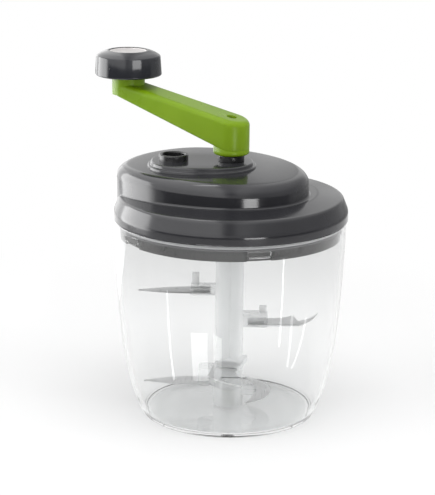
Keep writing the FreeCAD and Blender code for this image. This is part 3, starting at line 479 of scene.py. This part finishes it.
def crownHeight(x, y):
    # z on a sphere through the dome's top with a sagitta of crown over half its length
    span = lid["domeLong"] / 2
    ball = (span ** 2 + lid["crown"] ** 2) / (2 * lid["crown"])
    cx, cy = lid["domeCentre"]
    return domeTop - ball + np.sqrt(ball ** 2 - (x - cx) ** 2 - (y - cy) ** 2)


def lengthAlong(curve):
    # length of a polyline up to each of its points
    return np.concatenate([[0], np.cumsum(np.hypot(*np.diff(curve, axis=0).T))])


def alongCurve(curve, share):
    # points on a polyline at shares of its length
    length = lengthAlong(curve)
    return [np.interp(share * length[-1], length, curve[:, axis]) for axis in (0, 1)]


def shareAtRadius(curve, radius):
    # share of the polyline's length at which its radius first reaches the given one
    length = lengthAlong(curve)
    rising = np.maximum.accumulate(curve[:, 0] + np.arange(len(curve)) * 1e-7)
    return np.interp(radius, rising, length) / length[-1]


def lidShell():
    # rows run from the crank's hole over the crown, down the dome's wall, over ledge and rim, and back inside
    angle = fullTurn(lid["angles"])[None, :]
    hole, wall, shoulder = lid["holeRadius"], lid["wall"], lid["domeShoulder"]

    fold = np.linspace(0, np.pi / 2, 12)[:, None]
    out = np.linspace(0, 1, 26)[:-1, None]
    crownR = hole + (domeReach(angle, shoulder) - hole) * out
    foldR = domeReach(angle, shoulder * (1 - np.sin(fold)))
    upperR = np.concatenate([crownR, foldR])
    upperZ = crownHeight(upperR * np.cos(angle), upperR * np.sin(angle))
    upperZ[len(out):] -= shoulder * (1 - np.cos(fold))

    low, ledge, radius = lid["low"], lid["ledge"], lid["radius"]
    start, flat = lid["startRadius"], lid["ledgeFlat"]
    rimCurve = roundedProfile([(start, ledge), (flat, ledge), lid["bend"], (radius, lid["taperLow"]),
                               (radius, low), (radius - wall, low)],
                              [0, *lid["rimRounds"], lid["lowerEdge"], 0], 14)
    foot = domeReach(angle, 0)
    crease = np.minimum(lid["crease"], (radius - foot) * lid["creaseShare"])
    startShare = shareAtRadius(rimCurve, foot + crease)
    footZ = alongCurve(rimCurve, startShare)[1]
    creaseR = foot + crease * (1 - np.cos(fold))
    creaseZ = footZ + crease * (1 - np.sin(fold))
    along = np.linspace(0, 1, 56)[1:, None]
    rimR, rimZ = alongCurve(rimCurve, startShare + (1 - startShare) * along)

    under = ledge - wall
    insideCurve = roundedProfile([(start, under), (flat, under), (radius - wall, under - lid["ledgeFall"]),
                                  (radius - wall, low + 0.5)],
                                 [0, lid["insideRound"], lid["shoulder"] - wall, 0], 8)
    insideStart = shareAtRadius(insideCurve, domeReach(angle, wall))
    back = np.linspace(1, 0, 22)[:, None]
    insideR, insideZ = alongCurve(insideCurve, insideStart + (1 - insideStart) * back)
    inFold = np.linspace(np.pi / 2, 0, 8)[:, None]
    bend = shoulder - wall
    ceilingR = domeReach(angle, wall + bend * (1 - np.sin(inFold)))
    ceilingZ = domeCeiling - bend * (1 - np.cos(inFold)) + 0 * angle
    lastR = hole + (ceilingR[-1:] - hole) * np.linspace(1, 0, 14)[1:, None]

    r = np.concatenate([upperR, creaseR, rimR, insideR, ceilingR, lastR])
    z = np.concatenate([upperZ, creaseZ, rimZ, insideZ, ceilingZ, domeCeiling + 0 * lastR])
    return ringShell(polarGrid(r, angle, z), wrap=True)


makePiece("lidCover", [lidShell()], "lidGrey", "lid", "lid_cover", 50)
refinedNode("innerLid", "inner_lid", "skirtGrey", "lid")
print("lid made")

oval = {"long": 70.6, "wide": 57.0, "x": -18.7, "power": 2.3, "low": 162.0, "flangeTop": 166.2,
        "top": 168.5, "step": 2.2, "stepSlope": 0.3, "stepFoot": 0.5, "edge": 1.3, "flangeEdge": 0.9, "draft": 0.5,
        "inset": 14.0, "holeRadius": 7.0, "angles": 220}


def ovalReach(angle, margin):
    # distance from the axis at which |x / a|^p + |y / b|^p = 1, found by halving
    near, far = 0 * angle + 0 * margin, 90.0 + 0 * angle + 0 * margin
    halfLong, halfWide = oval["long"] / 2 - margin, oval["wide"] / 2 - margin
    for _ in range(40):
        middle = (near + far) / 2
        x, y = middle * np.cos(angle) - oval["x"], middle * np.sin(angle)
        inside = np.abs(x / halfLong) ** oval["power"] + np.abs(y / halfWide) ** oval["power"] < 1
        near, far = np.where(inside, middle, near), np.where(inside, far, middle)
    return near


def ovalShell():
    # rows of (margin, height) from the crank's hole over the step and flange and back underneath
    angle = fullTurn(oval["angles"])[None, :]
    inset, step, top, flangeTop = oval["inset"], oval["step"], oval["top"], oval["flangeTop"]
    rows = roundedProfile([(inset, top), (step + oval["stepSlope"], top), (step, flangeTop),
                           (oval["draft"], flangeTop), (0, oval["low"]), (inset, oval["low"])],
                          [0, oval["edge"], oval["stepFoot"], oval["flangeEdge"], 0, 0], 7)
    reach = ovalReach(angle, rows[:, :1])
    z = rows[:, 1:] + 0 * reach
    hole = oval["holeRadius"] + 0 * reach[:1]
    reach = np.concatenate([hole, reach, hole])
    z = np.concatenate([z[:1], z, z[-1:]])
    return ringShell(polarGrid(reach, angle, z), wrap=True)


makePiece("ovalPlate", [ovalShell()], "lidGrey", "lid", "oval_plate", 40)

pour = {"x": -36.9, "outer": 9.5, "inner": 7.1, "low": 129.5, "top": 172.4, "shoulder": 10.6,
        "shoulderLow": 134.15, "shoulderTop": 135.65, "edge": 0.8}


def pourShell():
    # a tube with a rounded mouth and a shoulder that rests on the inner lid
    inner, outer, wide, edge = pour["inner"], pour["outer"], pour["shoulder"], pour["edge"]
    under, over = pour["shoulderLow"], pour["shoulderTop"]
    corners = [(inner, pour["low"]), (outer, pour["low"]), (outer, under), (wide, under), (wide, over),
               (outer, over), (outer, pour["top"]), (inner, pour["top"])]
    return revolved(roundedProfile(corners, [0.3, 0.3, 0.1, 0.2, 0.2, 0.1, edge, edge], 6), 128, (pour["x"], 0),
                    wrap=True)


makePiece("pourTube", [pourShell()], "trimBlack", "lid", "pour_tube")

collar = {"bore": 5.05, "outer": 6.95, "low": 148.8, "seat": 168.5, "top": 172.5, "flange": 8.5, "edge": 0.6}


def collarShell():
    # a bush with a thick flange on the oval plate
    bore, outer, flange, seat = collar["bore"], collar["outer"], collar["flange"], collar["seat"]
    corners = [(bore, collar["low"]), (outer, collar["low"]), (outer, seat), (flange, seat),
               (flange, collar["top"]), (bore, collar["top"])]
    return revolved(roundedProfile(corners, [0.1, 0.2, 0.05, 0.2, collar["edge"], 0.2], 6), 128, wrap=True)


makePiece("crankCollar", [collarShell()], "trimBlack", "lid", "crank_bush")
print("oval plate, pour tube and collar made")

arm = {"low": 172.9, "topAtAxis": 197.0, "topSlope": 0.1985, "keel": 4.2, "keelSlope": 0.329,
       "length": 78.6, "hubRadius": 11.6, "endRadius": 10.8, "heading": 150.0, "edge": 3.4, "lowerEdge": 0.9,
       "barLow": 3.2, "recess": 3.2, "recessFloor": 193.0, "recessEdge": 0.35, "hubEdge": 1.6,
       "hubFoot": (2.9, 3.1), "hubInset": 0.06, "neckTop": 216.1, "neckInset": 0.03, "neckEdge": 0.7,
       "buried": 12.0}
knobPlace = circlePoints(arm["length"], math.radians(arm["heading"]))


def armOutline(margin):
    # hub circle, tangent, end circle, tangent, all shrunk by margin; points run anticlockwise
    hubR, endR = arm["hubRadius"] - margin, arm["endRadius"] - margin
    lean = math.acos((hubR - endR) / arm["length"])
    hub = circlePoints(hubR, np.linspace(lean, 2 * np.pi - lean, 72))
    end = circlePoints(endR, np.linspace(-lean, lean, 56), arm["length"])
    share = np.linspace(0, 1, 30)[1:-1, None]
    return np.concatenate([hub, hub[-1] + (end[0] - hub[-1]) * share, end, end[-1] + (hub[0] - end[-1]) * share])


def armTop(x):
    # a plane that rises towards the knob
    return arm["topAtAxis"] + arm["topSlope"] * x


def armKeel(x):
    # a steeper plane, level where it would fall below barLow
    return np.maximum(arm["low"] + arm["keel"] + arm["keelSlope"] * x, arm["low"] + arm["barLow"])


def barShell():
    # a tapering bar between the keel plane and the top plane, with a round screw recess in its hub end
    rows = []

    def addRow(loop, z):
        rows.append(np.column_stack([loop, z + 0 * loop[:, 0]]))

    edge, lowerEdge, recess = arm["edge"], arm["lowerEdge"], arm["recess"]
    lowLoop = armOutline(lowerEdge)
    for share in np.linspace(0, 1, 6)[:-1]:
        addRow(lowLoop * share, armKeel(lowLoop[:, 0] * share))
    for bend in np.linspace(0, np.pi / 2, 5):
        loop = armOutline(lowerEdge * (1 - math.sin(bend)))
        addRow(loop, armKeel(loop[:, 0]) + lowerEdge * (1 - math.cos(bend)))
    side = armOutline(0.0)
    lowZ, highZ = rows[-1][:, 2], armTop(side[:, 0]) - edge
    for share in np.linspace(0, 1, 8)[1:-1]:
        addRow(side, lowZ + (highZ - lowZ) * share)
    for bend in np.linspace(0, np.pi / 2, 10):
        loop = armOutline(edge * (1 - math.cos(bend)))
        addRow(loop, armTop(loop[:, 0]) - edge * (1 - math.sin(bend)))
    topLoop = armOutline(edge)
    ring = circlePoints(1, np.arctan2(topLoop[:, 1], topLoop[:, 0]))
    mouth = ring * (recess + arm["recessEdge"])
    for share in np.linspace(0, 1, 8)[1:]:
        loop = topLoop + (mouth - topLoop) * share
        addRow(loop, armTop(loop[:, 0]))
    for inward, drop in ((0.1, 0.1), (0.0, 0.4)):
        loop = ring * (recess + inward)
        addRow(loop, armTop(loop[:, 0]) - drop)
    for share in (1.0, 0.5, 0.0):
        addRow(ring * recess * share, arm["recessFloor"])
    points, faces = ringShell(np.array(rows))
    return turnedBy(points, arm["heading"]), faces


def hubShell():
    # the round foot of the hub, a hair inside the bar's wall above hubFoot
    low, outer, (footZ, insetZ) = arm["low"], arm["hubRadius"], arm["hubFoot"]
    inner, topZ = outer - arm["hubInset"], low + arm["buried"]
    corners = [(0, low), (outer, low), (outer, low + footZ), (inner, low + insetZ), (inner, topZ), (0, topZ)]
    return revolved(roundedProfile(corners, [0, arm["hubEdge"], 0, 0, 0, 0], 8), 128)


def neckShell():
    # the upright end that carries the knob's pin
    radius, top, low = arm["endRadius"] - arm["neckInset"], arm["neckTop"], arm["neckTop"] - arm["buried"]
    profile = roundedProfile([(0, low), (radius, low), (radius, top), (0, top)], [0, 0, arm["neckEdge"], 0], 8)
    return revolved(profile, 128, knobPlace)


makePiece("crankArm", [barShell(), hubShell(), neckShell()], "armGreen", "crank", "crank_arm", 40)
print("crank arm made")

knob = {"low": 216.5, "radius": 22.0, "shoulderRadius": 21.0, "side": 13.0, "height": 16.4, "topRadius": 13.6,
        "slopeBulge": (0.35, 0.4), "slopeRound": 14.0, "wall": 2.6, "sleeve": 6.6, "sleeveTop": 227.1,
        "bore": 3.05, "washer": 5.9, "edge": 1.1, "capRadius": 12.4, "capThick": 2.0, "capInset": 0.35,
        "capGap": 0.05, "capRim": 1.0, "capDish": (0.25, 0.55, 0.7), "dotAngle": -121.0, "dotHeight": 6.6,
        "dotRadius": 0.55, "dotInset": 0.75}


def knobShell():
    # outside wall, domed slope, cap recess, bore and the hollow underneath, as one closed profile
    low, top = knob["low"], knob["low"] + knob["height"]
    wide, narrow, edge = knob["shoulderRadius"], knob["topRadius"], knob["edge"]
    capSeat = top - knob["capThick"] - knob["capInset"]
    ceiling, inside = low + knob["side"] - knob["wall"], wide - knob["wall"]
    capR, washer, bore, sleeve = knob["capRadius"] + knob["capGap"], knob["washer"], knob["bore"], knob["sleeve"]
    outward, upward = knob["slopeBulge"]
    middle = ((wide + narrow) / 2 + outward, low + (knob["side"] + knob["height"]) / 2 + upward)
    corners = [(knob["radius"] - 0.1, low), (wide, low + knob["side"]), middle, (narrow, top), (capR, top),
               (capR, capSeat), (washer, capSeat), (washer, knob["sleeveTop"]), (bore, knob["sleeveTop"]),
               (bore, low), (sleeve, low), (sleeve, ceiling), (inside, ceiling), (inside, low)]
    radii = [edge, edge * 1.3, knob["slopeRound"], 0.5, 0.25, 0, 0, 0, 0.1, 0.2, 0.3, 0.5, 0.8, 0.4]
    return revolved(roundedProfile(corners, radii, 8), 176, knobPlace, wrap=True)


def dotShell():
    # a moulding dot: a small ball, (r sin b, z + r cos b) turned, sunk into the knob's side
    bend = np.linspace(0, np.pi, 12)
    centre = knobPlace + circlePoints(knob["radius"] - knob["dotInset"], math.radians(knob["dotAngle"]))
    profile = np.stack([np.sin(bend), np.cos(bend)], -1) * knob["dotRadius"] + [0, knob["low"] + knob["dotHeight"]]
    return revolved(profile, 24, centre)


def capShell():
    # a dished disc with a raised rim line
    top = knob["low"] + knob["height"] - knob["capInset"]
    low, r, rim = top - knob["capThick"], knob["capRadius"], knob["capRim"]
    step, half, deep = knob["capDish"]
    corners = [(0, low), (r, low), (r, top), (r - rim, top), (r - rim - 0.4, top - step), (r / 2, top - half),
               (0, top - deep)]
    return revolved(roundedProfile(corners, [0, 0.2, 0.35, 0.2, 0.3, 8.0, 0], 8), 128, knobPlace)


makePiece("knobBody", [knobShell(), dotShell()], "knobGrey", "knob", "knob", 38)
makePiece("knobCap", [capShell()], "capSilver", "knob", "knob_cap", 38)
print("knob made")

blades = {"thick": 1.0, "root": 12.5, "armEnd": 25.5, "straightFront": 5.8, "straightBack": 9.2,
          "sweptFront": 6.0, "sweptBack": 11.0, "sweptBow": 2.1, "sweptTip": 14.0, "cusp": 7.0, "notchDepth": 5.5,
          "notchStep": 3.0, "straightBow": 1.6, "hookRadius": 28.0, "hookWidth": 11.0, "hookAngle": 66.0,
          "grind": 2.4, "thinEdge": 0.08, "chamfer": 0.15, "stations": 120,
          "finish": {"dark": (0.47, 0.473, 0.477), "light": (0.76, 0.763, 0.767), "gloss": (0.22, 0.38),
                     "bump": 0.2, "metal": 1.0}}
# swept with a sweep, straight with a reach alone, and otherwise the crescent at the foot
bladeSet = {
    "bladeUpper": {"node": "blade_upper", "reach": 60.0, "z": 81.1, "heading": 180.0},
    "bladeMiddle": {"node": "blade_middle", "reach": 60.0, "sweep": 23.0, "z": 59.6, "heading": 0.0},
    "bladeFront": {"node": "blade_front", "reach": 56.0, "sweep": 21.0, "z": 36.6, "heading": -102.5},
    "bladeLower": {"node": "blade_lower", "reach": 56.5, "z": 18.6, "heading": 180.0},
    "bladeHook": {"node": "blade_hook", "z": 13.2, "heading": 0.0},
}


def bowedLine(start, end, bow, count=24):
    # straight line plus a sideways bulge 4 b s (1 - s), to the right of the way from start to end
    start, end = np.array(start, float), np.array(end, float)
    run = end - start
    side = np.array([run[1], -run[0]]) / np.hypot(*run)
    share = np.linspace(0, 1, count)[:, None]
    return start + run * share + side * 4 * bow * share * (1 - share)


def linesAt(x, low, high):
    # both edge lines, given as lists of points, at the same stations along the blade
    return [np.column_stack([x, np.interp(x, *np.concatenate(line).T)]) for line in (low, high)]


def straightEdges(reach):
    # from the arm both edges run bowed to one tip on the blade's own line
    end, front, back = blades["armEnd"], blades["straightFront"], blades["straightBack"]
    root, bow = blades["root"], blades["straightBow"]
    return linesAt(np.linspace(root, reach, blades["stations"]),
                   [[(root, -back)], bowedLine((end, -back), (reach, 0), bow)],
                   [[(root, front)], bowedLine((end, front), (reach, 0), -bow)])


def sweptEdges(reach, sweep):
    # the front edge bends to a tip off to one side; the back one runs to a cusp, drops into a notch and follows
    end, front, back, bow = blades["armEnd"], blades["sweptFront"], blades["sweptBack"], blades["sweptBow"]
    root, tip, bend = blades["root"], (reach, sweep), (reach - blades["sweptTip"], -0.7 * front)
    cusp = ((end + reach) / 2, back + blades["cusp"])
    notch = (cusp[0] + blades["notchStep"], back - blades["notchDepth"])
    x = np.sort(np.concatenate([np.linspace(root, reach, blades["stations"]), reach - np.geomspace(0.01, 4, 12),
                                [cusp[0], notch[0]]]))
    return linesAt(x, [[(root, -front)], bowedLine(bend, tip, bow)],
                   [[(root, back)], bowedLine((end, back), cusp, bow), bowedLine(notch, tip, bow)])


def hookEdges():
    # the outer arc is centred on the axis; the inner one runs through its ends and a point nearer the axis
    half, outer = math.radians(blades["hookAngle"]), blades["hookRadius"]
    endX, endY, dip = outer * math.cos(half), outer * math.sin(half), outer - blades["hookWidth"]
    centre = (endX ** 2 + endY ** 2 - dip ** 2) / (2 * (endX - dip))
    radius = dip - centre
    reach = math.atan2(endY, endX - centre)
    turn = np.linspace(-1, 1, blades["stations"])
    return circlePoints(radius, reach * turn, centre), circlePoints(outer, half * turn)


def bladeShell(back, edge, z, heading):
    # each station is a flat section from back to edge: full thickness, then a ground slope to a thin edge
    across = edge - back
    width = np.maximum(np.hypot(*across.T), 1e-4)
    across = across / width[:, None]
    grind = np.minimum(blades["grind"], 0.6 * width)
    chamfer = np.minimum(blades["chamfer"], 0.2 * width)
    half, thin = blades["thick"] / 2, np.minimum(blades["thinEdge"], 0.2 * width)
    zero = 0 * width
    place = np.stack([zero, zero, chamfer, width - grind, width, width, width - grind, chamfer], 1)
    height = np.stack([zero - half + chamfer, zero + half - chamfer, zero + half, zero + half,
                       thin, -thin, zero - half, zero - half], 1)
    flat = back[:, None] + across[:, None] * place[..., None]
    rings = np.concatenate([flat, z + height[..., None]], -1)
    root, tip = [end.mean(1, keepdims=True) + 0 * end for end in (rings[:1], rings[-1:])]
    points, faces = ringShell(np.concatenate([root, rings, tip]))
    return turnedBy(points, heading), faces


for name, blade in bladeSet.items():
    if "sweep" in blade:
        backLine, edgeLine = sweptEdges(blade["reach"], blade["sweep"])
    elif "reach" in blade:
        backLine, edgeLine = straightEdges(blade["reach"])
    else:
        backLine, edgeLine = hookEdges()
    finish = name + "Steel"
    materials[finish] = steelMaterial(finish, blades["finish"], blade["heading"] + 90)
    makePiece(name, [bladeShell(backLine, edgeLine, blade["z"], blade["heading"])], finish, "blade", blade["node"],
              25)
refinedNode("bladeShaft", "blade_shaft", "shaftWhite", "blade")
refinedNode("shaftFoot", "shaft_foot", "shaftWhite", "blade")
print("blades made")

# solids that keep their own meshes
carried = {"plainSteel": ("pivot_pin", "lid_screws", "oval_plate_screws", "planet_pins", "crank_screw", "knob_pin",
                          "knob_washer", "knob_screw"),
           "nylonWhite": ("spindle_bush", "ring_gear", "sun_gear", "drive_spindle", "crank_shaft", "foot_bush",
                          "planet_gear_1", "planet_gear_2", "planet_gear_3")}
for finish, nodeNames in carried.items():
    for nodeName in nodeNames:
        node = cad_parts[nodeName]
        if not node.material_slots:
            node.data.materials.append(materials[finish])
        for holder in node.material_slots:
            holder.material = materials[finish]
print("carried solids painted")

stage = {"floorSize": 12.0, "floorColour": (0.93, 0.93, 0.93), "shadowInner": 0.16, "shadowOuter": 0.42,
         "nearShare": 0.35, "farFrom": 0.655, "farTo": 0.663, "farLight": 0.03, "sideLight": 0.38,
         "sideFrom": -0.22, "sideTo": 0.12, "worldLight": 0.52, "cardLevel": 0.002}


def throughGlass(tree, rays):
    # 1 for what the eye sees directly or past any clear wall
    past = mathNode(tree, "GREATER_THAN", rays["Transmission Depth"], 0.5)
    return mathNode(tree, "MAXIMUM", rays["Is Camera Ray"], past)


def addFlat(name, corners, material):
    # one face of the surroundings
    mesh = bpy.data.meshes.new(name)
    mesh.from_pydata(corners, [], [(0, 1, 2, 3)])
    mesh.materials.append(material)
    flat = addObject(name, mesh)
    return flat


def makeFloor():
    # white to the eye, lit near the object; in reflections it is white up to farFrom and dark beyond
    material, tree, shader, output = startMaterial("paleFloor")
    setSockets(tree, shader, {"Base Color": (*stage["floorColour"], 1), "Roughness": 0.7,
                              "Specular IOR Level": 0.1})
    rays = tree.nodes.new("ShaderNodeLightPath").outputs
    place = objectPlace(tree)
    away = addNode(tree, "ShaderNodeVectorMath", {0: place}, operation="LENGTH").outputs["Value"]
    seen = throughGlass(tree, rays)
    lit = mapRange(tree, away, stage["shadowInner"], stage["shadowOuter"], stage["nearShare"], 1.0)
    mirrored = mathNode(tree, "MULTIPLY", rays["Is Glossy Ray"], mathNode(tree, "SUBTRACT", 1.0, seen))
    beyond = mapRange(tree, away, stage["farFrom"], stage["farTo"], 0.0, 1.0)
    loss = mapRange(tree, axesOf(tree, place)["Y"], stage["sideFrom"], stage["sideTo"], 1 - stage["farLight"],
                    1 - stage["sideLight"])
    dimming = mathNode(tree, "MULTIPLY", mirrored, mathNode(tree, "MULTIPLY", beyond, loss))
    glow = addNode(tree, "ShaderNodeEmission", {"Color": (1, 1, 1, 1),
                                                "Strength": mathNode(tree, "SUBTRACT", 1.0, dimming)})
    share = mathNode(tree, "MAXIMUM", mathNode(tree, "MULTIPLY", seen, lit), mirrored)
    setSockets(tree, output, {"Surface": mixShaders(tree, share, shader.outputs["BSDF"], glow.outputs["Emission"])})
    half = stage["floorSize"] / 2
    addFlat("floor", [(-half, -half, 0), (half, -half, 0), (half, half, 0), (-half, half, 0)], material)


# world strength in mirror-like reflections: stops pair the direction's x with it; the others are a range of
# its z (overhead, behindUpTo) or x, and the values at both ends
mirrorLight = {
    "most": 3.0,
    "stops": [(-1.0, 2.0), (-0.5, 2.2), (-0.15, 2.2), (-0.12, 1.3), (-0.1, 0.72), (-0.07, 0.42), (-0.02, 0.18),
              (0.01, 0.17), (0.045, 0.55), (0.09, 0.6), (0.12, 1.2), (0.25, 1.2), (0.45, 0.7), (1.0, 0.6)],
    "overhead": (0.3, 0.95, 0.0, 0.85), "behindUpTo": (0.3, 0.42, 0.62, 0.0),
    "behindFrom": (-0.16, -0.08, 0.0, 1.0), "behindTo": (0.03, 0.12, 1.0, 0.0)}


def makeWorld():
    # white to the eye; in reflections it brightens sideways and overhead; even for diffuse light
    world = bpy.data.worlds.new("studio")
    bpy.context.scene.world = world
    world.use_nodes = True
    tree = world.node_tree
    tree.nodes.clear()
    rays = tree.nodes.new("ShaderNodeLightPath").outputs
    axes = axesOf(tree, tree.nodes.new("ShaderNodeTexCoord").outputs["Generated"])
    ramp = addNode(tree, "ShaderNodeValToRGB", {"Fac": mapRange(tree, axes["X"], -1.0, 1.0, 0.0, 1.0, "LINEAR")})
    stops = ramp.color_ramp.elements
    stops.remove(stops[1])
    for number, (across, light) in enumerate(mirrorLight["stops"]):
        stop = stops[0] if number == 0 else stops.new((across + 1) / 2)
        share = light / mirrorLight["most"]
        stop.color = (share, share, share, 1)
    behind = mathNode(tree, "MULTIPLY", mapRange(tree, axes["Z"], *mirrorLight["behindUpTo"]),
                      mapRange(tree, axes["X"], *mirrorLight["behindTo"]))
    behind = mathNode(tree, "MULTIPLY", behind, mapRange(tree, axes["X"], *mirrorLight["behindFrom"]))
    above = mathNode(tree, "ADD", mapRange(tree, axes["Z"], *mirrorLight["overhead"]), behind)
    sideways = mathNode(tree, "MULTIPLY", ramp.outputs["Color"], mirrorLight["most"])
    mirrored = addNode(tree, "ShaderNodeBackground", {"Strength": mathNode(tree, "ADD", sideways, above)})
    even, white = [addNode(tree, "ShaderNodeBackground", {"Color": (1, 1, 1, 1), "Strength": light})
                   for light in (stage["worldLight"], 1.0)]
    unseen = mixShaders(tree, rays["Is Glossy Ray"], even.outputs["Background"], mirrored.outputs["Background"])
    shown = mixShaders(tree, throughGlass(tree, rays), unseen, white.outputs["Background"])
    addNode(tree, "ShaderNodeOutputWorld", {"Surface": shown})


# lights that only reflections show, in metres; a corner without a height lies at cardLevel
cards = {
    "tallCard": {"light": 9.5,
                 "corners": [(0.115, -0.497, 0.05), (0.262, -0.435, 0.05), (0.262, -0.435, 0.115),
                             (0.115, -0.497, 0.115)]},
    "leftSide": {"light": 6.5, "nearLight": 0.6, "fade": (-0.17, -0.03),
                 "corners": [(-0.58, -0.26, 0.003), (-0.58, 0.36, 0.003), (-0.58, 0.5, 0.5),
                             (-0.58, 0.02, 0.5)]},
    "backSide": {"light": 2.3,
                 "corners": [(-0.578, 0.2, 0.004), (-0.15, 0.2, 0.004), (-0.15, 1.3, 0.004),
                             (-0.578, 1.3, 0.004)]},
    "farSide": {"light": 2.6,
                "corners": [(-0.6, 0.37, 0.003), (-0.8, 2.4, 0.003), (-0.8, 2.4, 0.7), (-0.6, 0.52, 0.7)]},
    "leftStrip": {"light": 7.0,
                  "corners": [(-0.0825, -0.083), (-0.0841, -0.0794), (-0.2755, -0.1659), (-0.2717, -0.1741)]},
    "rightStrip": {"light": 8.0,
                   "corners": [(0.1283, -0.135), (0.3207, -0.2786), (0.3277, -0.2688), (0.1319, -0.1302)]},
    "nearPatch": {"light": 5.0,
                  "corners": [(-0.0577, -0.106), (-0.1217, -0.1835), (-0.071, -0.2104), (-0.0336, -0.118)]},
    "thinPatch": {"light": 4.0,
                  "corners": [(-0.0235, -0.117), (-0.0522, -0.2165), (-0.0225, -0.2066), (-0.0125, -0.1295)]},
    "rightStroke": {"light": 5.0,
                    "corners": [(0.1082, -0.0892), (0.2172, -0.1396), (0.2225, -0.129), (0.1105, -0.085)]},
    "outerStroke": {"light": 5.0,
                    "corners": [(0.112, -0.078), (0.235, -0.072), (0.237, -0.062), (0.113, -0.0745)]},
    "knobCard": {"light": 6.0,
                 "corners": [(-0.046, -0.038, 0.221), (-0.013, -0.019, 0.221), (-0.013, -0.019, 0.262),
                             (-0.046, -0.038, 0.262)]},
}


def hideFrom(holder, *rays):
    for kind in rays:
        setattr(holder, "visible_" + kind, False)


def makeCard(name, card):
    # an evenly bright face; with a fade it grows from nearLight to light over that range of y
    material, tree, shader, output = startMaterial(name)
    tree.nodes.remove(shader)
    light = card["light"]
    if "fade" in card:
        light = mapRange(tree, axesOf(tree, objectPlace(tree))["Y"], *card["fade"], card["nearLight"], light)
    glow = addNode(tree, "ShaderNodeEmission", {"Color": (1, 1, 1, 1), "Strength": light})
    setSockets(tree, output, {"Surface": glow.outputs["Emission"]})
    flat = addFlat(name, [(*corner, stage["cardLevel"])[:3] for corner in card["corners"]], material)
    hideFrom(flat, "camera", "diffuse", "transmission", "volume_scatter", "shadow")


lamps = {
    "leftSoft": {"place": (-1.0, -0.35, 0.55), "aim": (0, 0, 0.12), "size": (0.5, 0.9), "watts": 6.0},
    "rightSoft": {"place": (0.95, -0.25, 0.5), "aim": (0, 0, 0.12), "size": (0.22, 0.9), "watts": 3.4},
    "topSoft": {"place": (0.1, -0.35, 1.35), "aim": (0, 0, 0.1), "size": (0.9, 0.9), "watts": 7.6},
}


def makeLamp(name, lamp):
    # a soft rectangle that lights the object and isn't seen in reflections
    data = bpy.data.lights.new(name, "AREA")
    data.shape = "RECTANGLE"
    data.size, data.size_y = lamp["size"]
    data.energy = lamp["watts"]
    holder = addObject(name, data)
    place, aim = Vector(lamp["place"]), Vector(lamp["aim"])
    holder.location = place
    holder.rotation_mode = "QUATERNION"
    holder.rotation_quaternion = (aim - place).to_track_quat("-Z", "Y")
    hideFrom(holder, "camera", "transmission", "glossy")


eye = {"target": (0, 0, 0.1066), "pitch": 15.344, "distance": 1.1134, "roll": 0.725, "focal": 1710.2,
       "frame": (435, 495), "centre": (229.94, 253.43), "sensor": 36}


def makeCamera():
    # pinhole: focal length in picture heights, and the picture's centre moved by the shift
    data = bpy.data.cameras.new("eye")
    camera = addObject("eye", data)
    target, pitch = Vector(eye["target"]), math.radians(eye["pitch"])
    place = target + Vector((0, -eye["distance"] * math.cos(pitch), eye["distance"] * math.sin(pitch)))
    looking = (target - place).to_track_quat("-Z", "Y").to_matrix().to_4x4()
    camera.matrix_world = Matrix.Translation(place) @ looking @ Matrix.Rotation(math.radians(eye["roll"]), 4, "Z")
    wide, high = eye["frame"]
    data.sensor_width = eye["sensor"]
    data.lens = eye["focal"] / high * eye["sensor"]
    data.shift_x = -(eye["centre"][0] - wide / 2) / high
    data.shift_y = (eye["centre"][1] - high / 2) / high
    bpy.context.scene.camera = camera


makeFloor()
makeWorld()
for name, card in cards.items():
    makeCard(name, card)
for name, lamp in lamps.items():
    makeLamp(name, lamp)
makeCamera()
bpy.context.scene.view_settings.view_transform = "Standard"
print("stage made")
